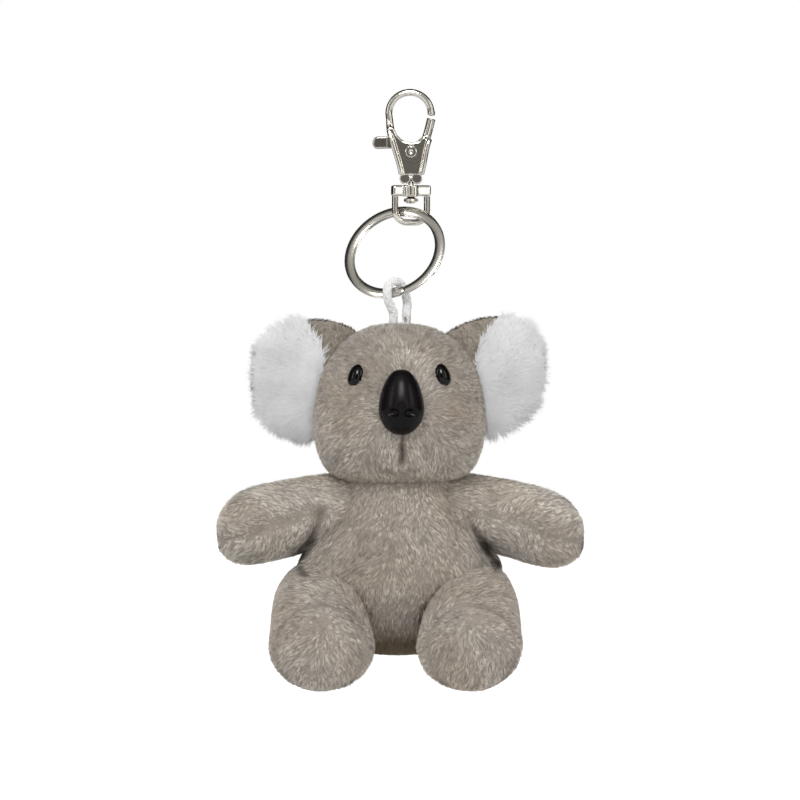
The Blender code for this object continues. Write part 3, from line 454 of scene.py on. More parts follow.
def cloudy_group():
    """Two sizes of noise in the object's own space, as a mask about one half."""
    inputs = [("Scale", "NodeSocketFloat", 200.0), ("Detail Scale", "NodeSocketFloat", 900.0)]
    inputs.append(("Contrast", "NodeSocketFloat", 1.0))
    outputs = [("Mask", "NodeSocketFloat"), ("Height", "NodeSocketFloat")]
    group, given, result = new_group("cloudy_tone", inputs, outputs)
    place = add_node(group, "ShaderNodeTexCoord")
    large = add_node(group, "ShaderNodeTexNoise", Detail=3.0, Roughness=0.55)
    small = add_node(group, "ShaderNodeTexNoise", Detail=2.0, Roughness=0.6)
    for noise_node, scale in ((large, "Scale"), (small, "Detail Scale")):
        group.links.new(place.outputs["Object"], noise_node.inputs["Vector"])
        group.links.new(given.outputs[scale], noise_node.inputs["Scale"])
    mean = add_node(group, "ShaderNodeMath", operation="ADD")
    group.links.new(large.outputs[0], mean.inputs[0])
    group.links.new(small.outputs[0], mean.inputs[1])
    centred = add_node(group, "ShaderNodeMath", operation="SUBTRACT")
    centred.inputs[1].default_value = 1.0
    group.links.new(mean.outputs[0], centred.inputs[0])
    spread = add_node(group, "ShaderNodeMath", operation="MULTIPLY_ADD", use_clamp=True)
    spread.inputs[2].default_value = 0.5
    group.links.new(centred.outputs[0], spread.inputs[0])
    group.links.new(given.outputs["Contrast"], spread.inputs[1])
    group.links.new(spread.outputs[0], result.inputs["Mask"])
    group.links.new(small.outputs[0], result.inputs["Height"])
    return group


CLOUDY = cloudy_group()
print("node group:", CLOUDY.name)


# %% Small helpers for materials
def new_material(name):
    """A material with its Principled shader and output, and its tree."""
    material = bpy.data.materials.new(name)
    tree = node_tree(material)
    shader = add_node(tree, "ShaderNodeBsdfPrincipled")
    out = add_node(tree, "ShaderNodeOutputMaterial")
    tree.links.new(shader.outputs[0], out.inputs["Surface"])
    return material, tree, shader


def cloudy(tree, scale, detail, contrast):
    """The cloudy tone at this scale, with its detail and its contrast."""
    values = dict(Scale=scale, Detail_Scale=detail, Contrast=contrast)
    return add_node(tree, "ShaderNodeGroup", node_tree=CLOUDY, **values)


def mixed(tree, factor, first, second, kind="RGBA", blend="MIX"):
    """A Mix node. A first or second that is a socket is linked, and a colour or number is set."""
    node = add_node(tree, "ShaderNodeMix", data_type=kind)
    if kind == "RGBA":
        node.blend_type = blend
    pair = [socket for socket in node.inputs if socket.enabled and socket.name in "AB"]
    factor_socket = next(socket for socket in node.inputs if socket.enabled and socket.name == "Factor")
    for socket, value in ((factor_socket, factor), *zip(pair, (first, second))):
        if isinstance(value, bpy.types.NodeSocket):
            tree.links.new(value, socket)
        else:
            socket.default_value = (*value, 1) if isinstance(value, tuple) else value
    return next(socket for socket in node.outputs if socket.enabled)


def bumped(tree, shader, height, strength, distance):
    bump = add_node(tree, "ShaderNodeBump", Strength=strength, Distance=distance)
    tree.links.new(height, bump.inputs["Height"])
    tree.links.new(bump.outputs[0], shader.inputs["Normal"])


# %% [markdown]
# ## The finish of the pile
#
# Plush is thousands of fine fibres on a knitted ground. Every fibre here is a real blade of geometry that
# carries two things: its own colour, with the small change from fibre to fibre and any shade painted into
# it, and how far up the fibre a point is. The material paints shade on the roots, where little light
# arrives, and adds the cloudy tone and a soft sheen.


# %% Plush materials
def pile_material(name, root_shade_level, cloud, sheen):
    """Fibres of the colour that they carry, with painted shade darkening them towards the root."""
    material, tree, shader = new_material(name)
    dye = add_node(tree, "ShaderNodeAttribute", attribute_name="dye")
    # Painted shade: the colour falls to the root shade level at the root and rises to full at the tip.
    up = add_node(tree, "ShaderNodeMapRange", To_Min=root_shade_level)
    tree.links.new(dye.outputs["Alpha"], up.inputs["Value"])
    shade = add_node(tree, "ShaderNodeCombineColor")
    for channel in range(3):
        tree.links.new(up.outputs["Result"], shade.inputs[channel])
    root_shaded = mixed(tree, 1.0, dye.outputs["Color"], shade.outputs[0], blend="MULTIPLY")
    tone = cloudy(tree, 160.0, 700.0, 1.2)
    light = mixed(tree, tone.outputs["Mask"], (1 - cloud,) * 3, (1 + cloud,) * 3)
    coloured = mixed(tree, 1.0, root_shaded, light, blend="MULTIPLY")
    tree.links.new(coloured, shader.inputs["Base Color"])
    rough = mixed(tree, tone.outputs["Mask"], 0.78, 0.95, kind="FLOAT")
    tree.links.new(rough, shader.inputs["Roughness"])
    shader.inputs["Specular IOR Level"].default_value = 0.06
    shader.inputs["Sheen Weight"].default_value = sheen
    shader.inputs["Sheen Roughness"].default_value = 0.6
    return material


# Painted shade: the near-black brown that the ground takes in the creases of the seams.
CREASE_SHADE_BROWN = (0.025, 0.018, 0.012)


def ground_material(name, dark, light):
    """The knitted ground under the pile, with painted shade where a seam creases it."""
    material, tree, shader = new_material(name)
    tone = cloudy(tree, 220.0, 1500.0, 1.8)
    plain = mixed(tree, tone.outputs["Mask"], dark, light)
    crease_shade = add_node(tree, "ShaderNodeAttribute", attribute_name="crease_shade")
    tree.links.new(mixed(tree, crease_shade.outputs["Fac"], plain, CREASE_SHADE_BROWN), shader.inputs["Base Color"])
    rough = mixed(tree, tone.outputs["Mask"], 0.85, 1.0, kind="FLOAT")
    tree.links.new(rough, shader.inputs["Roughness"])
    bumped(tree, shader, tone.outputs["Height"], 0.5, 0.3 * MM)
    return material


GREY_PILE = pile_material("grey_pile", 0.58, 0.10, 0.04)
WHITE_PILE = pile_material("white_pile", 0.97, 0.02, 0.15)
# The grey ground is darker than the pile: partly the knitted backing, partly painted shade of the depth under
# the fibres.
GREY_GROUND_AND_SHADE = ground_material("grey_ground", (0.21, 0.18, 0.15), (0.31, 0.27, 0.23))
WHITE_GROUND = ground_material("white_ground", (0.70, 0.70, 0.70), (0.86, 0.86, 0.86))
print("plush materials: 4")

# %% [markdown]
# ## The stuffed forms
#
# A plush body is cut from flat cloth, sewn and stuffed, so every part is a closed form that bulges between
# its seams. Each one starts as a few rings of points, taken from the same measures as the plain solids, and
# a subdivision surface rounds them. The surface is then drawn in by the depth of the pile, because the
# measured outline is the outline of the fur.

# %% Tables of the forms
RING_SWELL = 1.05
PILE_DEPTH = 0.6 * MM
FUR_DEPTH = 2.2 * MM
HEAD_RINGS = [
    (0, 0.26, 0.32, 0),
    (0.035, 0.50, 0.55, 0),
    (0.17, 0.79, 0.83, 0),
    (0.34, 0.94, 0.96, 0.005),
    (0.52, 1, 1, 0.015),
    (0.70, 1.01, 1, 0.025),
    (0.85, 0.95, 0.93, 0.020),
    (0.965, 0.84, 0.79, 0.010),
    (1.03, 0.50, 0.45, 0),
]
TORSO_RINGS = [
    (0, 0.38, 0.36, 0.05),
    (0.05, 0.58, 0.56, 0.05),
    (0.20, 0.66, 0.72, 0.04),
    (0.35, 0.82, 0.86, 0.02),
    (0.52, 1.08, 0.98, 0),
    (0.68, 1.10, 1.02, 0),
    (0.85, 0.84, 0.92, 0),
    (0.96, 0.56, 0.68, 0),
    (1, 0.30, 0.38, 0),
]
ARM_RINGS = [
    (0.10, 0.60, 0.90, -0.25),
    (0.22, 0.89, 1.12, -0.10),
    (0.48, 0.955, 1.06, 0.21),
    (0.66, 1, 1.02, 0.52),
    (0.82, 0.98, 1, 0.78),
    (0.93, 0.76, 0.80, 0.92),
    (1, 0.36, 0.40, 1),
]
LEG_RINGS = [
    (0, 0.50, 0.70, 0),
    (0.07, 0.76, 1.05, 0),
    (0.26, 0.88, 1.26, 0.05),
    (0.50, 0.92, 1.17, 0.33),
    (0.75, 0.97, 1.05, 0.72),
    (0.94, 1, 1, 0.96),
    (1.02, 0.93, 0.93, 1),
    (1.06, 0.70, 0.70, 1),
    (1.075, 0.36, 0.36, 1),
]
EAR_RINGS = {
    "left": [(-0.5, 0.48), (-0.45, 0.70), (-0.25, 0.90), (0, 1.01), (0.26, 0.90), (0.47, 0.54), (0.5, 0.3)],
    "right": [
        (-0.5, 0.60), (-0.45, 0.82), (-0.25, 0.98), (0, 1.03),
        (0.26, 0.925), (0.47, 0.60), (0.5, 0.35),
    ],
}
ARM_REACH = {"left": 53.2, "right": 52.7}
ARM_TIP_FALL = {"left": 7.6, "right": 6.7}
LEG_AXIS = KOALA_AXIS - 1.1 * MM
EAR_HEIGHT = {"left": 40.4, "right": 40.0}
EAR_MIDDLE = {"left": (24.9, -79.7), "right": (25.7, -80.8)}
EAR_LEAN = {"left": 0.12, "right": 0.0}


# %% Stations of the forms
HEAD_SIZE = dict(top=64.5, width=50.2, depth=40.0, height=45.2, forward=12.0)
TORSO_SIZE = dict(top=102.0, width=57.0, depth=38.0, height=57.4, forward=8.0)
ARM_FORWARD, SHOULDER_DROP, ARM_DEPTH, ARM_HEIGHT = 10.0, 117.3, 19.0, 26.4
LEG_SPREAD, LEG_SPLAY, LEG_BACK, LEG_REACH = 20.6, 1.6, 1.0, 43.0
HIP_DROP, LEG_FALL, LEG_WIDTH, LEG_HEIGHT = 145.8, 11.2, 32.8, 27.0
EAR_FORWARD, EAR_WIDTH, EAR_THICKNESS = 8.5, 34.0, 12.0


def station(x, y, z, across, along):
    """A ring of a form, as its centre and its two half sizes. Only x is given in metres already."""
    return Vector((x, y * MM, z * MM)), across * MM / 2, along * MM / 2


def upright(rings, top, width, depth, height, forward):
    """The stations of a form that stands upright."""
    return [
        station(KOALA_AXIS, -(forward + shift * depth), -(top + drop * height), across * width, along * depth)
        for drop, across, along, shift in rings
    ]


def arm_stations(side):
    stations = []
    for reach, tall, along, fall in ARM_RINGS:
        x = KOALA_AXIS + SIDES[side] * reach * ARM_REACH[side] * MM
        z = -(SHOULDER_DROP + fall * ARM_TIP_FALL[side])
        stations.append(station(x, -ARM_FORWARD, z, along * ARM_DEPTH, tall * ARM_HEIGHT))
    return stations


def leg_stations(side):
    stations = []
    for reach, wide, tall, fall in LEG_RINGS:
        x = LEG_AXIS + SIDES[side] * (LEG_SPREAD + LEG_SPLAY * (1 - reach)) * MM
        y, z = -(LEG_BACK + reach * LEG_REACH), -(HIP_DROP + fall * LEG_FALL)
        stations.append(station(x, y, z, wide * LEG_WIDTH, tall * LEG_HEIGHT))
    return stations


def ear_stations(side):
    stations = []
    for reach, share in EAR_RINGS[side]:
        x = KOALA_AXIS + SIDES[side] * (EAR_MIDDLE[side][0] + reach * EAR_WIDTH) * MM
        size = (share * EAR_THICKNESS, share * EAR_HEIGHT[side])
        stations.append(station(x, -EAR_FORWARD, EAR_MIDDLE[side][1], *size))
    return stations


print("forms: head, torso, 2 arms, 2 legs, 2 ears")


# %% Points as tables
def points_of(mesh):
    """A mesh's points and their normals, as two tables."""
    count = len(mesh.vertices)
    points = np.empty(count * 3)
    normals = np.empty(count * 3)
    mesh.vertices.foreach_get("co", points)
    mesh.vertices.foreach_get("normal", normals)
    return points.reshape(-1, 3), normals.reshape(-1, 3)


def set_points(mesh, points):
    mesh.vertices.foreach_set("co", points.ravel())
    mesh.update()


def unit(vectors):
    return vectors / np.maximum(np.linalg.norm(vectors, axis=1), 1e-9)[:, None]


# %% Rounding a form
def with_modifiers(holder):
    """The mesh that the modifiers of an object make of it."""
    return bpy.data.meshes.new_from_object(holder.evaluated_get(bpy.context.evaluated_depsgraph_get()))


def rounded_form(name, stations, across, along, sides=10, levels=4, inset=PILE_DEPTH):
    """The smooth closed mesh of some rings, drawn in by the inset."""
    shape = bmesh.new()
    loops = []
    for centre, half_across, half_along in stations:
        loop = []
        for step in range(sides):
            angle = 2 * math.pi * step / sides
            reach = across * (half_across * math.cos(angle)) + along * (half_along * math.sin(angle))
            loop.append(shape.verts.new(centre + reach * RING_SWELL))
        loops.append(loop)
    skin_loops(shape, loops)
    cage = finished_mesh(name + "_cage", shape)
    holder = new_object(name + "_holder", cage)
    smooth = holder.modifiers.new("smooth", "SUBSURF")
    smooth.levels = levels
    bpy.context.view_layer.update()
    mesh = with_modifiers(holder)
    bpy.data.objects.remove(holder)
    bpy.data.meshes.remove(cage)
    mesh.name = name
    points, normals = points_of(mesh)
    set_points(mesh, points - normals * inset)
    return mesh


FORMS = {
    "head": rounded_form("head_form", upright(HEAD_RINGS, **HEAD_SIZE), X_AXIS, Y_AXIS),
    "torso": rounded_form("torso_form", upright(TORSO_RINGS, **TORSO_SIZE), X_AXIS, Y_AXIS),
}
for side in SIDES:
    FORMS["arm_" + side] = rounded_form("arm_form_" + side, arm_stations(side), Y_AXIS, Z_AXIS, sides=8)
    FORMS["leg_" + side] = rounded_form("leg_form_" + side, leg_stations(side), X_AXIS, Z_AXIS, sides=8)
    ear_form = rounded_form("ear_form_" + side, ear_stations(side), Y_AXIS, Z_AXIS, sides=8, inset=FUR_DEPTH)
    points, _ = points_of(ear_form)
    points[:, 0] += SIDES[side] * EAR_LEAN[side] * (points[:, 2] - EAR_MIDDLE[side][1] * MM)
    set_points(ear_form, points)
    FORMS["ear_" + side] = ear_form
for name, mesh in FORMS.items():
    print(name, len(mesh.vertices), "points")

# %% [markdown]
# ## Lines that are sewn
#
# The thread holds the cloth down along every seam: the mouth, the herringbone seam along each arm, the
# armpits, the hips and the edge of each sole. Each seam is a line drawn on the front, so a helper finds how
# far any point is from it.

# %% Seam lines
def seam_field(points, line):
    """From each point to a line in X and Z: the distance, the ways off and along it, and how far along."""
    flat = points[:, [0, 2]]
    gap = np.full(len(flat), np.inf)
    off = np.zeros_like(flat)
    along = np.zeros_like(flat)
    progress = np.zeros(len(flat))
    knots = [np.array(knot) * MM for knot in line]
    for number, (start, end) in enumerate(zip(knots, knots[1:])):
        leg = end - start
        share = np.clip((flat - start) @ leg / (leg @ leg), 0, 1)
        away = flat - start - share[:, None] * leg
        reach = np.linalg.norm(away, axis=1)
        nearer = reach < gap
        gap[nearer] = reach[nearer]
        off[nearer] = away[nearer] / np.maximum(reach[nearer], 1e-9)[:, None]
        along[nearer] = leg / np.linalg.norm(leg)
        progress[nearer] = (number + share[nearer]) / (len(knots) - 1)
    return gap, off, along, progress


MOUTH_SEAM = [(-2.9, -94.0), (-2.3, -97.0), (-2.7, -99.5), (-2.2, -102.0), (-2.8, -104.6)]
ARM_SEAMS = {
    "left": [(19.0, -119.0), (22.9, -119.7), (32.9, -121.7), (38.0, -125.2), (46.6, -127.1), (50.0, -127.4)],
    "right": [
        (-25.0, -118.4), (-28.3, -119.1), (-38.6, -122.3),
        (-47.4, -125.7), (-52.6, -126.3), (-55.5, -126.4),
    ],
}
ARMPITS = {
    "left": [(16.6, -120.0), (17.8, -123.4), (19.6, -127.0), (22.0, -130.5), (24.6, -133.4)],
    "right": [(-25.6, -119.4), (-26.7, -123.6), (-28.3, -127.1), (-30.4, -130.1), (-32.6, -132.9)],
}
HIP_SEAMS = {
    "left": [(24.0, -132.0), (23.6, -135.4), (16.9, -137.4), (8.3, -141.1), (4.0, -145.4), (2.0, -149.7)],
    "right": [
        (-33.2, -132.6), (-30.0, -136.0), (-22.9, -136.6),
        (-17.4, -140.0), (-13.1, -144.0), (-11.1, -147.4),
    ],
}


NOISE_WAVES = 10
NOISE_PEAK = 3.2


def soft_noise(points, size, seed):
    """A smooth random field over space from -1 to 1, whose bumps are about this many millimetres across."""
    random = np.random.default_rng(seed)
    waves = random.normal(size=(NOISE_WAVES, 3))
    pitch = random.uniform(0.6, 1.5, NOISE_WAVES) * math.pi / (size * MM)
    waves *= (pitch / np.linalg.norm(waves, axis=1))[:, None]
    phases = random.uniform(0, 2 * math.pi, NOISE_WAVES)
    return np.sin(points @ waves.T + phases).sum(axis=1) / NOISE_PEAK


def seam_shade(points, normals, line, width, start=1.0):
    """1 along a seam on the front of a form, fading out raggedly past this width in millimetres.

    A start below 1 makes the shade narrower and weaker where the line begins.
    """
    gap, _, _, progress = seam_field(points, line)
    gap = np.maximum(gap + 0.35 * width * MM * soft_noise(points, 2.6, 5), 0)
    grown = start + (1 - start) * np.clip(progress * 1.6, 0, 1)
    return grown * np.exp(-((gap / (width * MM * grown)) ** 2)) * np.clip(0.5 - normals[:, 1] * 3, 0, 1)


SOLE_MIDDLE, SOLE_SPREAD, SOLE_HEIGHT, SOLE_RADIUS = -4.36, 21.2, -156.6, 12.4


def sole_seam(side, points=25):
    """The round line where a sole is sewn in, in millimetres."""
    middle = SOLE_MIDDLE + SIDES[side] * SOLE_SPREAD
    turns = [2 * math.pi * i / (points - 1) for i in range(points)]
    ways = [(math.cos(turn), math.sin(turn)) for turn in turns]
    return [(middle + SOLE_RADIUS * across, SOLE_HEIGHT + SOLE_RADIUS * up) for across, up in ways]


print("sewn lines: mouth, arms, armpits, hips, soles")

# %% [markdown]
# ## Filling the forms with stuffing
#
# A plush toy gets its shape when it is filled: the stuffing presses the cloth out, and the seams hold it
# back. A cloth simulation does the same. A copy of each form is drawn in a little, meshed anew in even
# cells and blown up by pressure with its seams pinned. Cloth behaves best at the size of a cushion, so the
# copy is ten times as large. The way that each of its points has gone, up to a cap, is then carried over to
# the fine form. The ears are left out: they hold almost no stuffing.


# %% Stuffing by cloth simulation
CLOTH_SCALE = 10.0
CLOTH_CELL = 2.4 * MM
CLOTH_FRAMES = 20
CLOTH_PRESSURE = 60.0
CLOTH_CAP = 1.2 * MM
DRAWN_IN = 0.3 * MM
SEWN = {"head": [MOUTH_SEAM], "torso": list(ARMPITS.values())}
for side in SIDES:
    SEWN["arm_" + side] = [ARM_SEAMS[side], ARMPITS[side]]
    SEWN["leg_" + side] = [sole_seam(side), HIP_SEAMS[side]]


def cloth_copy(name, mesh):
    """A larger copy of a form in even cells, drawn in from its measured surface."""
    points, normals = points_of(mesh)
    copy = mesh.copy()
    set_points(copy, (points - normals * DRAWN_IN) * CLOTH_SCALE)
    holder = new_object(name + "_cloth", copy)
    cells = holder.modifiers.new("cells", "REMESH")
    cells.mode = "VOXEL"
    cells.voxel_size = CLOTH_CELL * CLOTH_SCALE
    bpy.context.view_layer.update()
    even = with_modifiers(holder)
    holder.modifiers.clear()
    holder.data = even
    bpy.data.meshes.remove(copy)
    return holder


def blow_up(holder, seams):
    """Where pressure takes the points of a cloth copy, with its seams pinned."""
    start, normals = points_of(holder.data)
    sewn = np.zeros(len(start))
    for line in seams:
        gap, _, _, _ = seam_field(start / CLOTH_SCALE, line)
        sewn = np.maximum(sewn, np.exp(-((gap / (1.5 * MM)) ** 2)) * (normals[:, 1] < 0))
    group = holder.vertex_groups.new(name="sewn")
    for i in np.nonzero(sewn > 0.2)[0]:
        group.add([int(i)], float(sewn[i]), "REPLACE")
    cloth = holder.modifiers.new("stuffing", "CLOTH")
    cloth.settings.quality = 5
    cloth.settings.mass = 0.02
    cloth.settings.use_pressure = True
    cloth.settings.uniform_pressure_force = CLOTH_PRESSURE
    cloth.settings.vertex_group_mass = "sewn"
    cloth.settings.effector_weights.gravity = 0.0
    for frame_number in range(1, CLOTH_FRAMES + 1):
        bpy.context.scene.frame_set(frame_number)
    blown = with_modifiers(holder)
    end, _ = points_of(blown)
    bpy.data.meshes.remove(blown)
    return start / CLOTH_SCALE, (end - start) / CLOTH_SCALE


def stuff(name, mesh, seams):
    """Carries the movement of the simulated copy over to a form."""
    holder = cloth_copy(name, mesh)
    start, moved = blow_up(holder, seams)
    even = holder.data
    bpy.data.objects.remove(holder)
    bpy.data.meshes.remove(even)
    far = np.linalg.norm(moved, axis=1)
    moved *= (np.minimum(far, CLOTH_CAP) / np.maximum(far, 1e-9))[:, None]
    tree = KDTree(len(start))
    for i, point in enumerate(start):
        tree.insert(point, i)
    tree.balance()
    points, normals = points_of(mesh)
    points -= normals * DRAWN_IN
    shift = np.empty_like(points)
    for i, point in enumerate(points):
        found = tree.find_n(point, 5)
        shares = np.array([1 / (gap + 0.3 * CLOTH_CELL) ** 2 for _, _, gap in found])
        shift[i] = (moved[[index for _, index, _ in found]] * shares[:, None]).sum(axis=0) / shares.sum()
    set_points(mesh, points + shift)
    swell = (shift * normals).sum(axis=1) / MM
    print(name, "swells by", round(float(np.median(swell)), 2), "mm, at most", round(float(swell.max()), 2))


for name, seams in SEWN.items():
    stuff(name, FORMS[name], seams)
bpy.context.scene.frame_set(1)

# %% [markdown]
# ## Seams and dents
#
# The thread pulls the cloth in along every seam, and the eyes and the nose are pulled down into the
# stuffing. A groove follows a line drawn on the front of a form, and a dent surrounds a point. Both only
# move the points that they are near, so the rest keeps its measured shape.


# %% Grooves and dents
def groove(mesh, line, width, depth):
    """Pulls a form in along a seam on its front."""
    points, normals = points_of(mesh)
    gap, _, _, _ = seam_field(points, line)
    front = np.clip(-normals[:, 1] * 2, 0, 1)
    pull = depth * MM * np.exp(-((gap / (width * MM)) ** 2)) * front
    set_points(mesh, points - normals * pull[:, None])


def dent(mesh, centre, radius, depth):
    """Pulls a form in round a point, or pushes it out where the depth is negative."""
    points, normals = points_of(mesh)
    gap = np.linalg.norm(points - np.array(centre) * MM, axis=1)
    pull = depth * MM * np.exp(-((gap / (radius * MM)) ** 2))
    set_points(mesh, points - normals * pull[:, None])


EYE_SPREAD = 12.8
CHEEK_SWELL = {"left": -0.5, "right": -1.2}
groove(FORMS["head"], MOUTH_SEAM, 1.0, 0.9)
for side, sign in SIDES.items():
    dent(FORMS["head"], (KOALA_MIDDLE + sign * EYE_SPREAD, -29.0, -79.7), 4.4, 1.6)
    dent(FORMS["head"], (KOALA_MIDDLE + sign * 15.0, -22.0, -96.0), 10.0, CHEEK_SWELL[side])
    groove(FORMS["arm_" + side], ARM_SEAMS[side], 2.4, 0.8)
    groove(FORMS["arm_" + side], ARMPITS[side][:-1], 1.4, 1.5)
    groove(FORMS["torso"], ARMPITS[side][:-1], 1.3, 1.2)
    groove(FORMS["leg_" + side], sole_seam(side), 1.1, 0.9)
print("grooved forms:", len(FORMS) - len(SIDES))


# %% Creases
# Towards the lower edge of the body the pile and its ground darken: partly a browner cloth, partly painted
# shade under the body and between the legs.
BAND_DEPTHS = (141.0, 147.5, 150.5, 153.0, 155.5)
BAND_SHARES = (0.0, 0.15, 0.33, 0.62, 1.0)
BAND_GROUND_SHADE = 0.75


def lower_band_and_shade(points):
    """How far the plush darkens towards the lower edge of the body, from 0 to 1: partly a browner cloth, partly
    painted shade under the body and between the legs.
    """
    return np.interp(-points[:, 2] / MM, BAND_DEPTHS, BAND_SHARES)


def darken(mesh, shares):
    """Writes the painted shade of the ground of a form at each point, where it isn't darker already."""
    layer = mesh.attributes.get("crease_shade") or mesh.attributes.new("crease_shade", "FLOAT", "POINT")
    made = np.zeros(len(shares))
    layer.data.foreach_get("value", made)
    layer.data.foreach_set("value", np.maximum(made, shares))


def crease_shade(mesh, line, width, share=1.0, start=1.0):
    """Paints shade on the ground of a form beside a seam."""
    points, normals = points_of(mesh)
    darken(mesh, share * seam_shade(points, normals, line, width, start))


# Painted shade on the torso's ground towards its lower edge, where the darkening is partly a browner cloth.
darken(FORMS["torso"], BAND_GROUND_SHADE * lower_band_and_shade(points_of(FORMS["torso"])[0]))

# Painted shade in the creases of the mouth seam, the armpits and the hips.
crease_shade(FORMS["head"], MOUTH_SEAM, 0.6, 0.8)
for side in SIDES:
    crease_shade(FORMS["arm_" + side], ARMPITS[side], 1.3, 1.0, 0.3)
    crease_shade(FORMS["torso"], ARMPITS[side], 1.3, 1.0, 0.3)
    crease_shade(FORMS["torso"], HIP_SEAMS[side], 0.9, 0.7)
    crease_shade(FORMS["leg_" + side], HIP_SEAMS[side][:2], 0.9, 0.6)
print("creases: mouth, armpits, hips")

# %% [markdown]
# ## Pieces from the forms
#
# Each form becomes the knitted ground of one stuffed piece. It rides on its own body and stands for the skin
# and the stuffing of the plain solids. The ground shows between the fibres, so it carries painted shade
# where the pile has it: in the creases, and towards the lower edge of the body, where the darkening is
# partly a browner cloth.

# %% Stuffed pieces
STUFFED = {
    "head": (("head_skin", "head_stuffing"), 0.9),
    "torso": (("torso_skin", "torso_stuffing"), 0.85),
}
for side in SIDES:
    STUFFED["arm_" + side] = ((f"arm_{side}_skin", f"arm_{side}_stuffing"), 0.85)
    STUFFED["leg_" + side] = ((f"leg_{side}_skin", f"leg_{side}_stuffing", "sole_" + side), 0.85)
for side in SIDES:
    STUFFED["ear_" + side] = (("ear_back_" + side, "ear_front_" + side), 0.4)

TREES = {}
for name, mesh in FORMS.items():
    mesh.shade_smooth()
    corners = [tuple(face.vertices) for face in mesh.polygons]
    TREES[name] = BVHTree.FromPolygons([vertex.co.copy() for vertex in mesh.vertices], corners)
for name, (nodes, fill) in STUFFED.items():
    cloth = WHITE_GROUND if name.startswith("ear") else GREY_GROUND_AND_SHADE
    piece = add_piece(name + "_ground", FORMS[name], name, cloth, nodes)
print("stuffed pieces:", len(STUFFED))

# %% [markdown]
# ## How the pile grows
#
# Blender's own hair can't be carried out as a solid mesh, so the fibres are made as meshes. Roots are
# scattered evenly over a form. A comb gives each root the way that its fibre lies, a smooth noise bends
# that way a little, and neighbours lean together into small tufts, as handled plush does. A fibre is a
# narrow keeled blade: a few three-cornered rings that taper to a tip. Its shading normals come from the
# form underneath, so that the pile is lit as one soft surface.


# %% Scatter and noise
def scatter(mesh, per_square_mm, random):
    """Roots spread evenly over a mesh, with the form's smooth normals."""
    mesh.calc_loop_triangles()
    count = len(mesh.loop_triangles)
    corners = np.empty(count * 3, dtype=np.int64)
    mesh.loop_triangles.foreach_get("vertices", corners)
    corners = corners.reshape(-1, 3)
    points, normals = points_of(mesh)
    a, b, c = (points[corners[:, i]] for i in range(3))
    area = np.linalg.norm(np.cross(b - a, c - a), axis=1) / 2
    total = int(area.sum() / MM**2 * per_square_mm)
    chosen = random.choice(count, size=total, p=area / area.sum())
    u, v = random.random((2, total))
    over = u + v > 1
    u[over], v[over] = 1 - u[over], 1 - v[over]
    shares = np.stack([1 - u - v, u, v], axis=1)[:, :, None]
    roots = (points[corners[chosen]] * shares).sum(axis=1)
    outward = (normals[corners[chosen]] * shares).sum(axis=1)
    return roots, outward / np.linalg.norm(outward, axis=1)[:, None]


SEARCH_REACH = 60 * MM


def outside_of(points, names, depth):
    """Which points aren't deeper than this inside any of these forms."""
    free = np.ones(len(points), dtype=bool)
    for name in names:
        tree = TREES[name]
        for i in np.nonzero(free)[0]:
            place, normal, _, _ = tree.find_nearest(Vector(points[i]), SEARCH_REACH)
            if place is not None and (Vector(points[i]) - place).dot(normal) < -depth:
                free[i] = False
    return free


# %% Blades of a pile
def nearest_leader(roots, leaders):
    """For each root, which of the first few fibres leads its tuft."""
    guide = KDTree(leaders)
    for i in range(leaders):
        guide.insert(roots[i], i)
    guide.balance()
    return np.array([guide.find(root)[1] for root in roots])


def blade_faces(rings):
    """The faces of one blade between its rings and up to its tip."""
    faces = [(0, 1, 2, -1)]
    for ring in range(rings - 1):
        low, high = ring * 3, ring * 3 + 3
        faces += [(low, high, high + 1, low + 1), (low + 1, high + 1, high + 2, low + 2)]
        faces.append((low + 2, high + 2, high, low))
    last = rings * 3
    faces += [(last - 3, last, last - 2, -1), (last - 2, last, last - 1, -1), (last - 1, last, last - 3, -1)]
    return faces


def blades_mesh(name, points, faces, count):
    """One mesh of many like blades. A face is four corners of a blade, the last -1 where it has three."""
    per_blade = points.shape[1]
    sizes = np.array([3 if face[3] < 0 else 4 for face in faces])
    corners = np.array([corner for face in faces for corner in face if corner >= 0])
    mesh = bpy.data.meshes.new(name)
    mesh.vertices.add(count * per_blade)
    mesh.vertices.foreach_set("co", points.ravel())
    all_corners = (corners[None, :] + (np.arange(count) * per_blade)[:, None]).ravel()
    mesh.loops.add(len(all_corners))
    mesh.loops.foreach_set("vertex_index", all_corners)
    all_sizes = np.tile(sizes, count)
    mesh.polygons.add(len(all_sizes))
    mesh.polygons.foreach_set("loop_start", np.cumsum(all_sizes) - all_sizes)
    mesh.update(calc_edges=True)
    columns = math.ceil(math.sqrt(count))
    cell = np.arange(count)
    corner_place = np.stack([cell % columns, cell // columns], axis=1) / columns
    column_u = (0.1, 0.5, 0.9)
    rings = (per_blade - 1) // 3
    local = [(column_u[i % 3], 0.1 + 0.8 * (i // 3) / rings) for i in range(per_blade - 1)]
    local = np.array([*local, (0.5, 0.95)])
    layer = mesh.uv_layers.new(name="OFBake")
    places = corner_place[:, None, :] + local[None, corners, :] / columns
    layer.data.foreach_set("uv", places.ravel())
    return mesh


# %% Fibres
ROOT_SINK = 0.35 * MM
HIDING_DEPTH = 0.6 * MM
WAY_NOISE, WAY_PATCH = 0.45, 7
LENGTH_NOISE, LENGTH_PATCH = 0.12, 5
TONE_NOISE, TONE_PATCH = 0.07, 6
SEAM_CROP = 0.4
TUFT_FLATNESS = 0.7
ROLL_SPREAD = 0.35
TIP_THINNING = 0.45
KEEL_SHARE = 0.8


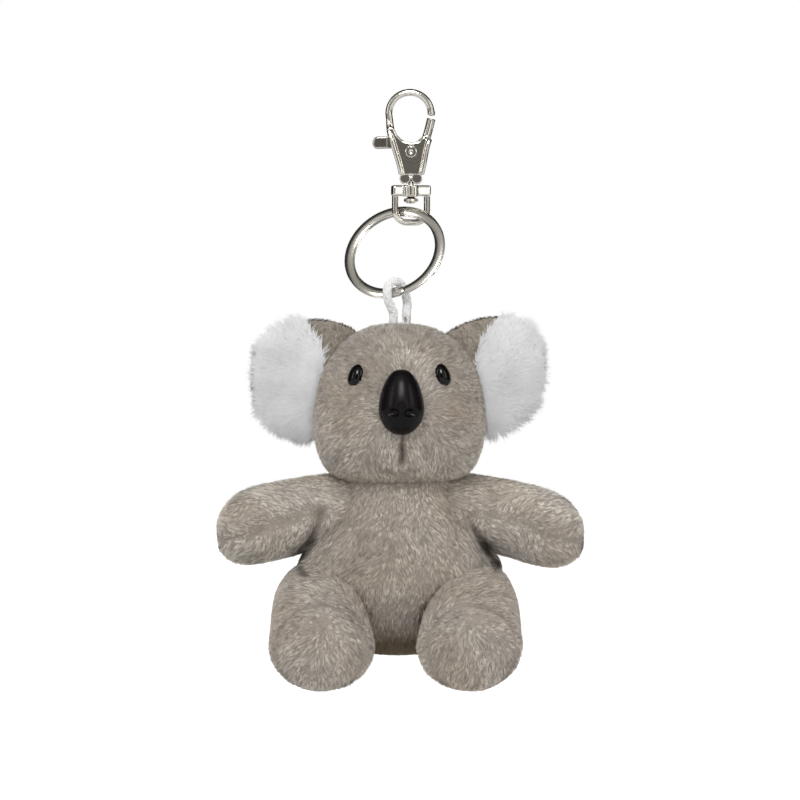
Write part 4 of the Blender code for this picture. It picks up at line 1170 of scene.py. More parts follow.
def grow_pile(
    name, form, comb, dye, per_square_mm, length, width, lift, body, slot, material,
    seed, rings=1, keep=None, hidden_by=(), tuft=0.6, tuft_per_mm=1.5, stray=0.19, droop=0.0, grain=0.13,
    ruffle=0.16, seams=(), fringe=False,
):
    """Fibres over a form as one mesh, with lengths in millimetres and the lift off the cloth in degrees.

    A fringe takes its light from the side where it stands out past the rim, so it is as pale from behind.
    """
    random = np.random.default_rng(seed)
    roots, normals = scatter(FORMS[form], per_square_mm, random)
    if keep is not None:
        kept = keep(roots, normals)
        roots, normals = roots[kept], normals[kept]
    kept = outside_of(roots, hidden_by, HIDING_DEPTH)
    roots, normals = roots[kept], normals[kept]
    count = len(roots)

    way = comb(roots, normals)
    way = unit(way - normals * (way * normals).sum(axis=1)[:, None])
    across = np.cross(normals, way)
    turn = WAY_NOISE * soft_noise(roots, WAY_PATCH, seed + 1) + stray * random.normal(size=count)
    way, across = (
        way * np.cos(turn)[:, None] + across * np.sin(turn)[:, None],
        across * np.cos(turn)[:, None] - way * np.sin(turn)[:, None],
    )
    longer = 1 + LENGTH_NOISE * soft_noise(roots, LENGTH_PATCH, seed + 2)
    reach = length * MM * random.uniform(0.75, 1.15, count) * longer
    for line in seams:
        reach *= 1 - SEAM_CROP * seam_shade(roots, normals, line, 1.0)
    rise = np.radians(lift) * random.uniform(0.6, 1.35, count)
    tips = roots + way * (reach * np.cos(rise))[:, None] + normals * (reach * np.sin(rise))[:, None]
    tips[:, 2] -= droop * MM

    leaders = max(1, int(count * tuft_per_mm / per_square_mm))
    led_by = nearest_leader(roots, leaders)
    pull = (tips[led_by] - tips) * (tuft * random.uniform(0.5, 1.2, count))[:, None]
    pull -= normals * (pull * normals).sum(axis=1)[:, None] * TUFT_FLATNESS

    roll = random.normal(size=count) * ROLL_SPREAD
    edge = across * np.cos(roll)[:, None] + normals * np.sin(roll)[:, None]
    keel = unit(np.cross(way, edge))
    half = width * MM / 2 * random.uniform(0.7, 1.3, count)

    shares = np.linspace(0, 1, rings + 1)
    points = np.empty((count, rings * 3 + 1, 3))
    heights = np.empty((count, rings * 3 + 1))
    for ring, share in enumerate(shares[:-1]):
        lifted = math.sin(share * math.pi / 2)
        middle = roots + way * (reach * np.cos(rise) * share)[:, None]
        middle += normals * (reach * np.sin(rise) * lifted)[:, None]
        middle += pull * share**1.5
        middle[:, 2] -= droop * MM * share**2
        if ring == 0:
            middle -= normals * ROOT_SINK
        thick = (half * (1 - TIP_THINNING * share**2))[:, None]
        points[:, ring * 3] = middle - edge * thick
        points[:, ring * 3 + 1] = middle + keel * thick * KEEL_SHARE
        points[:, ring * 3 + 2] = middle + edge * thick
        heights[:, ring * 3 : ring * 3 + 3] = share
    points[:, -1] = tips + pull
    heights[:, -1] = 1

    mesh = blades_mesh(name, points, blade_faces(rings), count)

    tone = 1 + grain * random.normal(size=count).clip(-2, 2)
    tone += TONE_NOISE * soft_noise(roots, TONE_PATCH, seed + 3)
    tone += 1.5 * grain * random.normal(size=leaders).clip(-2, 2)[led_by]
    colours = np.empty((count, rings * 3 + 1, 4), dtype=np.float32)
    # The dye carries each fibre's colour together with the shade that the dye functions paint into it, and its
    # alpha is the height up the fibre, by which the material paints shade at the root.
    colours[:, :, :3] = (dye((roots + tips) / 2, normals) * tone[:, None])[:, None, :]
    colours[:, :, 3] = heights
    layer = mesh.color_attributes.new("dye", "FLOAT_COLOR", "POINT")
    layer.data.foreach_set("color", colours.clip(0, 1).ravel())
    lit = normals.copy()
    if fringe:
        lit[:, 1] *= np.interp(normals[:, 1], (-0.55, -0.1), (1.0, 0.1))
    soft = unit(lit + ruffle * random.normal(size=(count, 3)) + 0.10 * way)
    mesh.shade_smooth()
    mesh.normals_split_custom_set_from_vertices(np.repeat(soft, rings * 3 + 1, axis=0).tolist())
    print(name, count, "fibres")
    return add_piece(name, mesh, body, material)


# %% [markdown]
# ## The way the pile lies
#
# On the face the pile runs away from the nose in every direction. On the torso it runs down. On the arms it
# leaves the front seam to both sides like the bones of a fish, and on the soles it turns out from a whorl.


# %% Combs
def comb_head(points, normals):
    nose = np.array((KOALA_AXIS, -34 * MM, -88 * MM))
    way = unit(points - nose)
    way[:, 2] -= 0.25
    behind = np.clip((points[:, 1] + 10 * MM) / (12 * MM), 0, 1)[:, None]
    down = np.tile((0.0, 0.2, -1.0), (len(points), 1))
    way = way * (1 - behind) + down * behind
    gap, off, _, _ = seam_field(points, MOUTH_SEAM)
    near = (np.exp(-((gap / (5 * MM)) ** 2)) * np.clip(-normals[:, 1], 0, 1))[:, None]
    aside = off[:, 0] * np.clip(gap / (1.2 * MM), 0, 1)
    beside = np.stack([aside, np.zeros(len(off)), np.full(len(off), -0.9)], axis=1)
    way = way * (1 - near) + beside * near
    for sign in SIDES.values():
        eye = np.array((KOALA_AXIS + sign * EYE_SPREAD * MM, -29 * MM, -79.7 * MM))
        inward = unit(eye - points)
        outer = np.clip(sign * (points[:, 0] - eye[0]) / (1.5 * MM), 0, 1)
        lash = (np.exp(-((np.linalg.norm(points - eye, axis=1) / (5 * MM)) ** 4)) * outer)[:, None]
        way = way * (1 - lash) + (inward - np.array((0, 0, 0.8))) * lash
    return way


def comb_torso(points, normals):
    way = np.tile((0.0, 0.0, -1.0), (len(points), 1))
    way[:, 0] = (points[:, 0] - KOALA_AXIS) / (40 * MM)
    return way


def comb_arm(side):
    def comb(points, normals):
        gap, off, along, _ = seam_field(points, ARM_SEAMS[side])
        spread = np.clip(gap / (1.6 * MM), 0, 1)[:, None]
        lean = off * spread + 0.9 * along
        beside = np.stack([lean[:, 0], np.zeros(len(lean)), lean[:, 1]], axis=1)
        away = np.tile((SIDES[side] * 1.0, 0.0, -0.35), (len(points), 1))
        near = (np.exp(-((gap / (8 * MM)) ** 2)) * np.clip(-normals[:, 1] * 1.5, 0, 1))[:, None]
        return away * (1 - near) + beside * near

    return comb


WHORLS = {"left": (18.3, -149.0), "right": (-24.2, -149.6)}


def comb_leg(side):
    def comb(points, normals):
        whorl = np.array((WHORLS[side][0] * MM, -44 * MM, WHORLS[side][1] * MM))
        round_whorl = unit(points - whorl)
        round_whorl[:, 2] -= 0.35
        along = np.tile((SIDES[side] * 0.9, 0.25, -0.45), (len(points), 1))
        front = np.clip((-normals[:, 1] - 0.55) * 4, 0, 1)[:, None]
        return along * (1 - front) + round_whorl * front

    return comb


def comb_ear(side, grey):
    def comb(points, normals):
        root = np.array((KOALA_AXIS + SIDES[side] * 17 * MM, -8.5 * MM, -84 * MM))
        outward = unit(points - root)
        if grey:
            fold = np.tile((SIDES[side] * 0.5, 0.0, -1.0), (len(points), 1))
            return np.where(normals[:, 1:2] > 0.2, -outward, fold)
        return outward

    return comb


print("combs: head, torso, arms, legs, ears")

# %% [markdown]
# ## The dyes and the painted shade
#
# The cloth is one warm grey, but no patch of plush looks the same as the next. Round the eyes it is darker
# and more olive, one cheek has a browner patch and the forehead above the nose is paler. Shade is painted
# into the pile round the eyes, under the chin and in the creases of the seams, and the face is painted
# darker towards the crown and lighter towards the chin, against the light from above. Towards the lower
# edge of the body the pile is darker brown, partly a browner cloth and partly painted shade under the body.

# %% Dyes
GREY_DYE = np.array((0.645, 0.575, 0.495))
ARM_DYE = np.array((0.765, 0.695, 0.605))
LEG_DYE = np.array((0.65, 0.58, 0.505))
PALE_DYE = np.array((0.78, 0.72, 0.64))
OLIVE_DYE = np.array((0.36, 0.31, 0.24))
BROWN_DYE = np.array((0.44, 0.34, 0.25))
# The darker brown of the lower edge of the body: partly the cloth's colour, partly painted shade under the
# body.
BAND_DYE_AND_SHADE = np.array((0.150, 0.108, 0.058))
# Painted shade: the near-black of the creases along the seams, round the eyes and under the chin.
CREASE_SHADE_DYE = np.array((0.04, 0.03, 0.018))
COOL_DYE = np.array((0.55, 0.51, 0.47))
WHITE_DYE = np.array((0.78, 0.78, 0.785))


def toward(dyes, target, share):
    """Dyes moved towards another by a share for each point."""
    share = np.clip(share, 0, 1)[:, None]
    return dyes * (1 - share) + target * share


def near(points, place, radius):
    """1 at a place given in millimetres, fading to 0 past this radius."""
    gap = np.linalg.norm(points - np.array(place) * MM, axis=1)
    return np.exp(-((gap / (radius * MM)) ** 2))


def blotched(dyes, points, seed):
    """The warm and the cool patches that come of dyeing and handling."""
    warm = soft_noise(points, 11, seed)
    dyes = toward(dyes, BROWN_DYE, 0.32 * np.clip(warm, 0, 1))
    return toward(dyes, COOL_DYE, 0.45 * np.clip(-warm, 0, 1))


BROW = [(-3.4, -74.5), (0.5, -75.5), (3.6, -78.5), (5.8, -82.0)]
CHIN_CREASE = [(-9.0, -106.5), (-4.0, -107.5), (1.0, -106.6)]


def head_dye_and_shade(points, normals):
    dyes = blotched(np.tile(GREY_DYE * 0.84, (len(points), 1)), points, 7)
    # Painted light and shade: the face is darkened towards the crown and lightened towards the chin, against
    # the light that falls from above.
    dyes *= np.interp(points[:, 2] / MM, (-104.0, -95.0, -86.0, -72.0), (1.17, 1.11, 0.97, 0.83))[:, None]
    for sign in SIDES.values():
        dyes = toward(dyes, OLIVE_DYE, 0.75 * near(points, (KOALA_MIDDLE + sign * 12.4, -30, -79), 5.5))
    dyes = toward(dyes, BROWN_DYE, 0.6 * near(points, (13.5, -28, -90), 5.5))
    dyes = toward(dyes, BROWN_DYE, 0.4 * near(points, (-20.0, -26, -84), 8))
    brow = seam_shade(points, normals, BROW, 3.2)
    dyes = toward(dyes, PALE_DYE, 0.75 * brow)
    dyes = toward(dyes, PALE_DYE, 0.3 * near(points, (-8.0, -33, -97), 7))
    dyes = toward(dyes, OLIVE_DYE, 0.35 * near(points, (-9.0, -33, -73), 7))
    # Painted shade under the chin.
    dyes = toward(dyes, CREASE_SHADE_DYE, 0.4 * seam_shade(points, normals, CHIN_CREASE, 0.8))
    # Painted shade round each eye, where it sits sunk in the pile.
    for sign in SIDES.values():
        ring = near(points, (KOALA_MIDDLE + sign * EYE_SPREAD, -29.5, -79.9), 4.2)
        dyes = toward(dyes, CREASE_SHADE_DYE, 0.92 * ring**2)
    # Painted shade along the crease of the mouth seam.
    return toward(dyes, CREASE_SHADE_DYE, 0.9 * seam_shade(points, normals, MOUTH_SEAM, 0.7))


def torso_dye_and_shade(points, normals):
    dyes = blotched(np.tile(GREY_DYE * 1.03, (len(points), 1)), points, 8)
    for side in SIDES:
        # Painted shade in the armpits, and in ragged dark marks along the hip creases.
        dyes = toward(dyes, CREASE_SHADE_DYE, 0.97 * seam_shade(points, normals, ARMPITS[side], 1.2, 0.3))
        ragged_hip_shade = np.clip(soft_noise(points, 1.6, 21) * 1.5, 0, 1)
        dyes = toward(dyes, CREASE_SHADE_DYE, 0.9 * ragged_hip_shade * seam_shade(points, normals, HIP_SEAMS[side], 1.2))
    dyes = toward(dyes, BROWN_DYE, 0.5 * near(points, (-20, -20, -117), 8))
    dyes = toward(dyes, BROWN_DYE, 0.35 * near(points, (14, -20, -115), 7))
    # Towards the lower edge the pile turns darker brown: partly a browner cloth, partly painted shade under the
    # body.
    return toward(dyes, BAND_DYE_AND_SHADE, lower_band_and_shade(points))


def limb_dye_and_shade(side, dye, seams):
    """The arm and leg cloth, with painted shade in the creases of its seams, given as (line, width, share,
    start) rows.
    """

    def dyes(points, normals):
        inner = np.interp(np.abs(points[:, 0] - KOALA_AXIS) / MM, (17.0, 30.0), (1.0, 0.0))
        made = toward(np.tile(dye, (len(points), 1)), GREY_DYE * 1.03, inner)
        made = blotched(made, points, 9 + SIDES[side])
        for line, width, share, start in seams:
            # Painted shade along the creases of the seams.
            made = toward(made, CREASE_SHADE_DYE, share * seam_shade(points, normals, line, width, start))
        return made

    return dyes


def dye_plain(dye):
    return lambda points, normals: np.tile(dye, (len(points), 1))


print("dyes: head, torso, limbs and one plain")

# %% Grow the grey pile
GREY = dict(per_square_mm=11.0, length=2.3, width=0.23, lift=11, slot="plush_grey", material=GREY_PILE)
HALVES = {
    "face": lambda points, normals: points[:, 1] < -12 * MM,
    "nape": lambda points, normals: points[:, 1] >= -12 * MM,
}
for seed, (half, keep) in enumerate(HALVES.items()):
    grow_pile(
        "head_pile_" + half, "head", comb_head, head_dye_and_shade, body="head", seed=10 + 10 * seed, keep=keep,
        hidden_by=("torso",), seams=(MOUTH_SEAM,), **GREY,
    )
for seed, (half, keep) in enumerate({"front": HALVES["face"], "back": HALVES["nape"]}.items()):
    grow_pile(
        "torso_pile_" + half, "torso", comb_torso, torso_dye_and_shade, body="torso", seed=40 + 2 * seed, keep=keep,
        hidden_by=("head", "arm_left", "arm_right", "leg_left", "leg_right"), **GREY,
    )
for number, side in enumerate(SIDES):
    grow_pile(
        f"arm_{side}_pile", "arm_" + side, comb_arm(side),
        limb_dye_and_shade(side, ARM_DYE, [(ARM_SEAMS[side], 0.5, 0.5, 1.0), (ARMPITS[side], 1.3, 0.97, 0.3)]),
        body="arm_" + side, seed=50 + 10 * number, hidden_by=("torso", "head"),
        seams=(ARM_SEAMS[side],), **GREY,
    )
    grow_pile(
        f"leg_{side}_pile", "leg_" + side, comb_leg(side),
        limb_dye_and_shade(side, LEG_DYE, [(sole_seam(side), 0.5, 0.5, 1.0), (HIP_SEAMS[side][:2], 0.9, 0.7, 1.0)]),
        body="leg_" + side, seed=70 + 10 * number, hidden_by=("torso",), seams=(sole_seam(side),), **GREY,
    )

# %% [markdown]
# ## The ears
#
# The back of an ear and the fold beside the crown are the same grey plush. The front is a patch of long
# white fur that sticks out past the edge in soft uneven tufts. White fibres let most of the light through,
# so they cast no shadows on each other here. The line between the two runs down beside the head, so each
# root looks up on which side of that line it is.

# %% Grow the ears
FOLD_DYE = np.array((0.45, 0.40, 0.325))
FOLD_HEIGHTS = (-95.0, -85.0, -80.6, -76.0, -70.6, -63.7, -60.0)
FOLD_SPREADS = (24.0, 23.0, 22.3, 21.0, 22.6, 28.2, 32.0)


def on_white(side):
    def keep(points, normals):
        spread = SIDES[side] * (points[:, 0] - KOALA_AXIS) / MM
        edge = np.interp(points[:, 2] / MM, FOLD_HEIGHTS, FOLD_SPREADS)
        return (normals[:, 1] < 0.6) & (spread > edge)

    return keep


def on_grey(side):
    white = on_white(side)
    return lambda points, normals: ~white(points, normals)


def on_back_pile(side):
    """The grey side without its rim, whose fibres would stand up against the light."""
    grey = on_grey(side)
    return lambda points, normals: grey(points, normals) & (np.abs(normals[:, 1] - 0.4) > 0.2)


for number, side in enumerate(SIDES):
    ground = FORMS["ear_" + side]
    ground.materials.append(GREY_GROUND_AND_SHADE)
    middles = np.array([face.center for face in ground.polygons])
    facing = np.array([face.normal for face in ground.polygons])
    ground.polygons.foreach_set("material_index", on_grey(side)(middles, facing).astype(np.int32))
    grow_pile(
        f"ear_{side}_back_pile", "ear_" + side, comb_ear(side, True), dye_plain(FOLD_DYE), body="ear_" + side,
        seed=100 + 10 * number, keep=on_back_pile(side), hidden_by=("head",), **GREY,
    )
    fur = grow_pile(
        f"ear_{side}_white_fur", "ear_" + side, comb_ear(side, False), dye_plain(WHITE_DYE),
        body="ear_" + side, seed=130 + 10 * number, keep=on_white(side), hidden_by=("head",),
        per_square_mm=19.0, length=3.8, width=0.15, lift=30, slot="ear_fur", material=WHITE_PILE, rings=2,
        tuft=0.25, tuft_per_mm=0.5, stray=0.6, droop=0.2, grain=0.012, ruffle=0.06, fringe=True,
    )
    fur.visible_shadow = False


# %% [markdown]
# ## Eyes and nose
#
# The eyes are glossy black beads on shanks. The nose is a moulded button with two nostrils and a shallow
# groove between them. Both are turned or rounded at high resolution, because a highlight shows every facet.
# The beads sit in the pile, so their round face is set a little below the cloth and turned towards the
# front.


# %% Turned shapes and gloss
def solid_of_revolution(name, profile, centre, axis, steps=48):
    """A closed turned mesh from (radius, height) rows that start and end on the axis."""
    shape = bmesh.new()
    turn = axis.to_track_quat("Z", "Y").to_matrix()
    loops = []
    for radius, rise in profile:
        middle = centre + turn @ Vector((0, 0, rise))
        if radius < 1e-9:
            loops.append([shape.verts.new(middle)])
        else:
            loops.append(round_loop(shape, middle, turn @ X_AXIS * radius, turn @ Y_AXIS * radius, steps))
    for first, second in zip(loops, loops[1:]):
        for i in range(steps):
            j = (i + 1) % steps
            corners = [first[i % len(first)], first[j % len(first)]]
            corners += [second[j % len(second)], second[i % len(second)]]
            shape.faces.new(list(dict.fromkeys(corners)))
    mesh = finished_mesh(name, shape)
    mesh.shade_smooth()
    return mesh


def gloss_material(name, colour, roughness, shine, pits):
    """Moulded plastic with faint handling marks."""
    material, tree, shader = new_material(name)
    tone = cloudy(tree, 300.0, 2500.0, 1.0)
    darker = tuple(channel * 0.7 for channel in colour)
    tree.links.new(mixed(tree, tone.outputs["Mask"], darker, colour), shader.inputs["Base Color"])
    rough = mixed(tree, tone.outputs["Mask"], roughness * 0.8, roughness * 1.2, kind="FLOAT")
    tree.links.new(rough, shader.inputs["Roughness"])
    shader.inputs["Specular IOR Level"].default_value = shine
    bumped(tree, shader, tone.outputs["Height"], pits, 0.05 * MM)
    return material


EYE_BLACK = gloss_material("eye_black", (0.002, 0.002, 0.002), 0.04, 0.25, 0.0)
NOSE_BLACK = gloss_material("nose_black", (0.005, 0.004, 0.0045), 0.26, 0.12, 0.1)
print("gloss finishes: 2")

# %% Eyes
EYE_RADIUS = 3.8 * MM
EYE_DOME = 2.6 * MM
EYE_DEPTH = 0.9 * MM
EYE_FOOT = 0.6 * MM
EYE_NARROW = 0.66
EYE_FRONTAL = 0.45
EYE_TILT = 16.0
EYE_PLACES = {"left": (12.2, -80.0), "right": (12.4, -80.1)}
for side, sign in SIDES.items():
    start = Vector((KOALA_AXIS + sign * EYE_PLACES[side][0] * MM, -0.08, EYE_PLACES[side][1] * MM))
    place, normal, _, _ = TREES["head"].ray_cast(start, Y_AXIS)
    seat = place - normal * EYE_DEPTH
    axis = (normal * (1 - EYE_FRONTAL) - Y_AXIS * EYE_FRONTAL).normalized()
    profile = [(0, EYE_DOME)]
    for step in range(1, 13):
        angle = math.pi / 2 * (1 - step / 12)
        profile.append((EYE_RADIUS * math.cos(angle), EYE_DOME * math.sin(angle)))
    profile += [(EYE_RADIUS * 0.9, -EYE_FOOT), (0, -EYE_FOOT)]
    bead = solid_of_revolution("eye_bead_" + side, profile, seat, axis)
    tall_way = Z_AXIS * math.cos(math.radians(EYE_TILT)) - X_AXIS * sign * math.sin(math.radians(EYE_TILT))
    narrow_way = np.array(tall_way.cross(axis).normalized())
    points, _ = points_of(bead)
    across = (points - np.array(seat)) @ narrow_way
    set_points(bead, points - np.outer(across, narrow_way) * (1 - EYE_NARROW))
    add_piece("eye_bead_" + side, bead, "head", EYE_BLACK, ("eye_" + side,))
    print("eye", side, [round(value / MM, 1) for value in seat])

# %% Nose
NOSE_RINGS = [
    (-0.01, 0.14),
    (0.01, 0.30),
    (0.06, 0.50),
    (0.20, 0.76),
    (0.43, 0.97),
    (0.66, 1.04),
    (0.85, 0.86),
    (0.96, 0.55),
    (1.005, 0.32),
    (1.015, 0.14),
]
NOSE_ASIDE, NOSE_TOP, NOSE_HEIGHT, NOSE_WIDTH, NOSE_DEPTH = 0.5, -78.4, 18.0, 13.0, 12.0
NOSTRILS = ((-4.95, -90.5), (-0.35, -90.6))
nose_low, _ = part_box("nose")
nose_x, nose_y = KOALA_AXIS + NOSE_ASIDE * MM, nose_low[1] + 0.5 * NOSE_DEPTH * MM
nose_stations = []
for drop, share in NOSE_RINGS:
    middle = Vector((nose_x, nose_y, (NOSE_TOP - drop * NOSE_HEIGHT) * MM))
    nose_stations.append((middle, share * NOSE_WIDTH * MM / 2, share * NOSE_DEPTH * MM / 2))
nose_mesh = rounded_form("nose_button", nose_stations, X_AXIS, Y_AXIS, inset=0.0)
for centre in NOSTRILS:
    points, normals = points_of(nose_mesh)
    offset = (points[:, [0, 2]] / MM - np.array(centre)) / np.array((1.65, 1.15))
    pull = 1.3 * MM * np.exp(-((offset**2).sum(axis=1) ** 2)) * np.clip(-normals[:, 1] * 2, 0, 1)
    set_points(nose_mesh, points - normals * pull[:, None])
groove(nose_mesh, [(-2.65, -88.8), (-2.65, -93.0)], 0.5, 0.4)
nose_mesh.shade_smooth()
add_piece("nose_button", nose_mesh, "head", NOSE_BLACK, ("nose",))
print("nose front at", round(nose_low[1] / MM, 1))

# %% [markdown]
# ## The metal
#
# The clasp, the stirrup and the ring are nickel-plated. Plating is bright where hands polish it and duller
# where they don't reach, so its tone and roughness change slowly over the surface. The pin, the post and
# the spring keep their plain shapes and only change their finish, and a bevel in the shader rounds their
# edges for the light.


# %% Nickel
def metal_material(name, bright, dull, roughness, edge):
    """Plated metal. The edge is the radius of its bevel in millimetres, or 0 for none."""
    material, tree, shader = new_material(name)
    tone = cloudy(tree, 350.0, 1800.0, 2.0)
    tree.links.new(mixed(tree, tone.outputs["Mask"], dull, bright), shader.inputs["Base Color"])
    rough = mixed(tree, tone.outputs["Mask"], roughness * 1.3, roughness * 0.85, kind="FLOAT")
    tree.links.new(rough, shader.inputs["Roughness"])
    shader.inputs["Metallic"].default_value = 1.0
    if edge:
        soft_edge = add_node(tree, "ShaderNodeBevel", samples=6)
        soft_edge.inputs["Radius"].default_value = edge * MM
        tree.links.new(soft_edge.outputs[0], shader.inputs["Normal"])
    return material


CLASP_NICKEL = metal_material("clasp_nickel", (0.72, 0.70, 0.65), (0.58, 0.56, 0.51), 0.12, 0)
RING_NICKEL = metal_material("ring_nickel", (0.70, 0.69, 0.65), (0.58, 0.57, 0.53), 0.16, 0)
GATE_METAL = metal_material("gate_metal", (0.60, 0.58, 0.53), (0.46, 0.44, 0.40), 0.11, 0)
PIN_NICKEL = metal_material("pin_nickel", (0.74, 0.72, 0.67), (0.60, 0.58, 0.53), 0.13, 0.2)
SPRING_STEEL = metal_material("spring_steel", (0.45, 0.44, 0.42), (0.30, 0.29, 0.28), 0.3, 0.05)
CAD_FINISH = {"gate_pin": PIN_NICKEL, "swivel_post": PIN_NICKEL, "gate_spring": SPRING_STEEL}

# %% [markdown]
# ## Cast pieces
#
# The hook, the gate and the stirrup are die castings, so no edge on them is sharp, and the wire of the
# hook's eye runs on down both edges of the body as raised rails. The plain solids of the frame have hard
# edges and flat facets. Wrapping a solid in a fine voxel skin and relaxing it gives the soft edges of a
# casting, and rails that are laid on first melt into it.


# %% Casting a solid
def cast_piece(name, node, body, finish, rails=(), shaped=None, voxel=0.12, passes=14):
    """A casting round a solid of the frame, with rails as (points in millimetres, radius) rows."""
    shape = bmesh.new()
    shape.from_mesh(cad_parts[node].data)
    if shaped:
        for vertex in shape.verts:
            shaped(vertex)
    bmesh.ops.remove_doubles(shape, verts=shape.verts, dist=0.002 * MM)
    for points, radius in rails:
        add_tube(shape, smooth_route([Vector(point) * MM for point in points], 40), radius * MM, 12)
    holder = new_object(name + "_holder", finished_mesh(name, shape))
    skin = holder.modifiers.new("skin", "REMESH")
    skin.mode = "VOXEL"
    skin.voxel_size = voxel * MM
    relax = holder.modifiers.new("relax", "SMOOTH")
    relax.factor = 0.5
    relax.iterations = passes
    bpy.context.view_layer.update()
    cast = with_modifiers(holder)
    bpy.data.objects.remove(holder)
    cast.name = name
    cast.shade_smooth()
    cast.materials.clear()
    add_piece(name, cast, body, finish, (node,))
    print(name, len(cast.polygons), "faces")


# %% Hook, gate and stirrup
RAIL_RADIUS = 0.75
RAIL_LINES = (
    (
        (-6.35, 0, -6.0),
        (-6.38, 0.5, -8.0),
        (-6.15, 1.5, -10.4),
        (-5.35, 2.05, -13.0),
        (-4.45, 2.1, -16.0),
        (-3.45, 2.1, -19.3),
        (-2.75, 2.0, -22.4),
    ),
    ((5.35, 1.4, -12.4), (4.9, 2.0, -13.6), (4.35, 2.1, -16.0), (3.75, 2.1, -19.3), (3.05, 2.0, -22.4)),
)
HOOK_RAILS = []
for face in (-1, 1):
    for line in RAIL_LINES:
        HOOK_RAILS.append(([(x, face * y, z) for x, y, z in line], RAIL_RADIUS))
CHEEK_FLOOR = 2.15 * MM
CHEEK_TOP = -9.3 * MM


def sink_cheek(vertex):
    """Brings the face of a cheek down to the floor of its recess, so that only the rails stand proud."""
    if vertex.co.z < CHEEK_TOP and abs(vertex.co.y) > CHEEK_FLOOR:
        vertex.co.y = math.copysign(CHEEK_FLOOR, vertex.co.y)


for sign in SIDES.values():
    lobe = (sign * 1.75, -23.55)
    for radius, reach in ((1.3, 1.1), (1.05, 1.6), (0.7, 1.9)):
        HOOK_RAILS.append(([(lobe[0], y, lobe[1]) for y in (-reach, 0, reach)], radius))
HOOK_RAILS.append(([(6.0, 0, -4.4), (6.05, 0, -5.0), (6.0, 0, -5.7)], 0.85))
cast_piece("hook_casting", "hook_body", "hook", CLASP_NICKEL, HOOK_RAILS, sink_cheek)
BARREL_PANELS = ((-1.5, -1.9, 0.7), (1.0, -1.75, 1.0))
GATE_RAILS = [([(5.8, 0, -6.5), (5.3, 0, -8.6), (4.8, 0, -10.5), (4.3, 0, -12.2)], 1.25)]
cast_piece("gate_casting", "gate_lever", "gate", GATE_METAL, GATE_RAILS, passes=10)
STIRRUP_RAILS = [([(x, y, z) for z in (-25.8, -27.2, -28.8)], radius) for x, y, radius in BARREL_PANELS]
cast_piece(
    "stirrup_casting", "swivel_stirrup", "stirrup", CLASP_NICKEL, STIRRUP_RAILS, passes=6
)

# %% [markdown]
# ## The split ring
#
# A split ring is two turns of wire that is rolled nearly flat, so across its width it is a low dome, and
# the light slides over it in long lines. Its measures are those of the frame. The wire springs evenly from
# its first end to its other end, so the turns lie against each other like those of a screw.

# %% Split ring
RING_OUTER = 30.0 * MM
RING_BAND = 2.8 * MM
RING_WIRE = 0.8 * MM
RING_RISE = 1.62 * MM
RING_LEAN, RING_TILT = math.radians(35), math.radians(36)
RING_HANG_ANGLE, RING_HANG_DROP = math.radians(39), 33.1 * MM
RING_STEP_ANGLE, RING_FIRST_ANGLE = math.radians(26), math.radians(-74)
RING_END_GAP = math.radians(6)
RING_STEPS = 240
RING_SECTION = 20
ROUND_END = (0.45, 0.75, 0.92, 1.0)
ring_u = Vector((math.cos(RING_LEAN), 0, math.sin(RING_LEAN)))
ring_v = Vector(
    (
        -math.sin(RING_LEAN) * math.cos(RING_TILT),
        math.sin(RING_TILT),
        math.cos(RING_LEAN) * math.cos(RING_TILT),
    )
)
ring_axis = ring_u.cross(ring_v)
ring_radius = (RING_OUTER - RING_BAND) / 2


def ring_spoke(angle):
    return ring_u * math.cos(angle) + ring_v * math.sin(angle)


ring_centre = Vector((0, 0, -RING_HANG_DROP)) - ring_spoke(RING_HANG_ANGLE) * ring_radius
whole = 4 * math.pi - RING_STEP_ANGLE - RING_END_GAP
shape = bmesh.new()
loops = []
for step in range(RING_STEPS + 1):
    along = whole * step / RING_STEPS
    rise = RING_RISE * (along / whole - 0.5)
    spoke = ring_spoke(RING_FIRST_ANGLE + along)
    middle = ring_centre + spoke * ring_radius + ring_axis * rise
    taper = ROUND_END[min(step, RING_STEPS - step, len(ROUND_END) - 1)]
    loop = []
    for i in range(RING_SECTION):
        angle = 2 * math.pi * i / RING_SECTION
        out = math.cos(angle) * RING_BAND / 2 * taper
        up = math.copysign(abs(math.sin(angle)) ** 1.5, math.sin(angle)) * RING_WIRE / 2 * taper
        loop.append(shape.verts.new(middle + spoke * out + ring_axis * up))
    loops.append(loop)
skin_loops(shape, loops)
ring_mesh = finished_mesh("ring_strip", shape)
ring_mesh.shade_smooth()
add_piece("ring_strip", ring_mesh, "ring", RING_NICKEL, ("split_ring",))
print("ring faces:", len(ring_mesh.polygons))

# %% [markdown]
# ## The cord's yarn, and the pieces nobody sees
#
# The cord is white polyester. Inside the koala are the knot of the cord and the washers that hold the eyes
# and the nose. The knot is pulled tight and sits a little lower than the room that the frame keeps for it.
# The washers of the eyes are pushed home on their shanks, or their rims would show through the cloth beside
# the eyes.


# %% Yarn
def yarn_material(name, pale, shaded):
    material, tree, shader = new_material(name)
    tone = cloudy(tree, 500.0, 2200.0, 1.6)
    tree.links.new(mixed(tree, tone.outputs["Mask"], shaded, pale), shader.inputs["Base Color"])
    rough = mixed(tree, tone.outputs["Mask"], 0.75, 0.92, kind="FLOAT")
    tree.links.new(rough, shader.inputs["Roughness"])
    shader.inputs["Sheen Weight"].default_value = 0.2
    shader.inputs["Specular IOR Level"].default_value = 0.15
    bumped(tree, shader, tone.outputs["Height"], 0.05, 0.03 * MM)
    return material


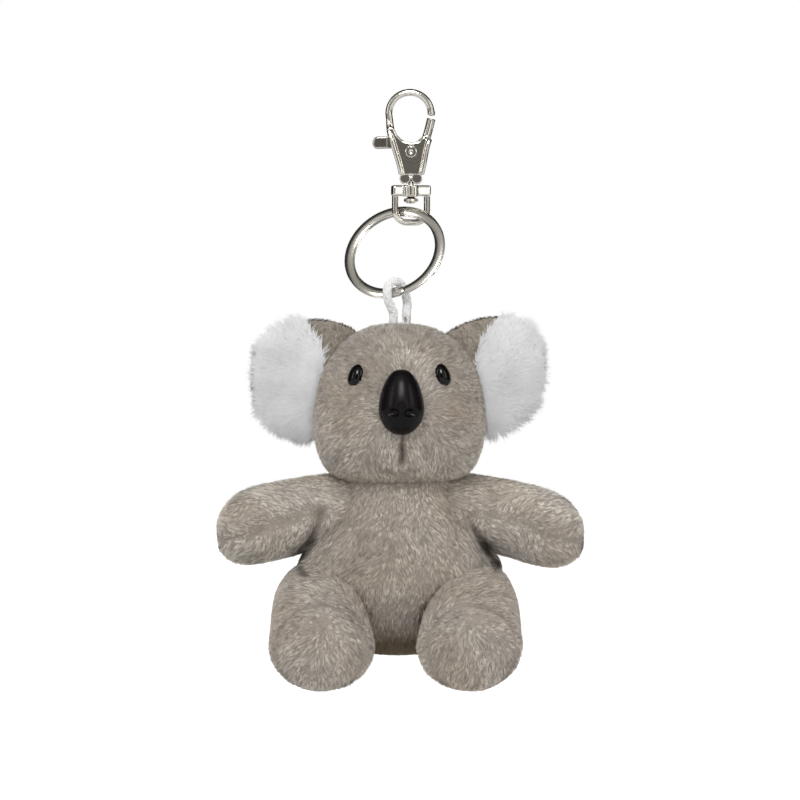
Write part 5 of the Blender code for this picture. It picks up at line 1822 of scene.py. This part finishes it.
CORD_YARN = yarn_material("cord_yarn", (0.74, 0.735, 0.73), (0.71, 0.705, 0.70))
cord_braid.data.materials.append(CORD_YARN)
print("the cord has its yarn")


# %% Knot
def box_of(node):
    """The lowest and the highest corner of a node of the frame."""
    return [Vector(corner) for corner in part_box(node)]


KNOT_DROP = 0.7 * MM
KNOT_TIGHT = 0.92
knot_low, knot_high = box_of("cord_knot")
knot_half = (knot_high - knot_low) / 2 * KNOT_TIGHT
bows = [math.pi * step / 16 for step in range(17)]
knot_mesh = solid_of_revolution(
    "knot", [(math.sin(bow), math.cos(bow)) for bow in bows], Vector((0, 0, 0)), Z_AXIS, steps=32
)
points, _ = points_of(knot_mesh)
middle = np.array((knot_low + knot_high) / 2 - Z_AXIS * KNOT_DROP)
set_points(knot_mesh, points * np.array(knot_half) + middle)
add_piece("tight_knot", knot_mesh, "head", CORD_YARN, ("cord_knot",))
print("knot:", round(2 * knot_half.x / MM, 1), "mm wide")

# %% Washers
WASHER_PLASTIC = gloss_material("washer_plastic", (0.55, 0.56, 0.56), 0.4, 0.4, 0.1)
WASHER_SCALE = 0.66
WASHER_PUSH = 1.0 * MM
for side in SIDES:
    low, high = box_of("eye_washer_" + side)
    eye_low, eye_high = box_of("eye_" + side)
    middle = (low + high) / 2
    inward = (middle - (eye_low + eye_high) / 2).normalized()
    disc_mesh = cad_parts["eye_washer_" + side].data.copy()
    points, _ = points_of(disc_mesh)
    home = np.array(middle + inward * WASHER_PUSH)
    set_points(disc_mesh, (points - np.array(middle)) * WASHER_SCALE + home)
    disc_mesh.materials.clear()
    add_piece(
        "pushed_washer_" + side, disc_mesh, "head", WASHER_PLASTIC, ("eye_washer_" + side,)
    )
print("pushed washers:", len(SIDES))

# %% Plain pieces
CAD_FINISH["nose_washer"] = WASHER_PLASTIC
for name, finish in CAD_FINISH.items():
    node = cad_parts[name]
    for place in range(max(1, len(node.material_slots))):
        if not node.material_slots:
            node.data.materials.append(finish)
        node.material_slots[place].link = "OBJECT"
        node.material_slots[place].material = finish
print("frame pieces dressed:", len(CAD_FINISH))
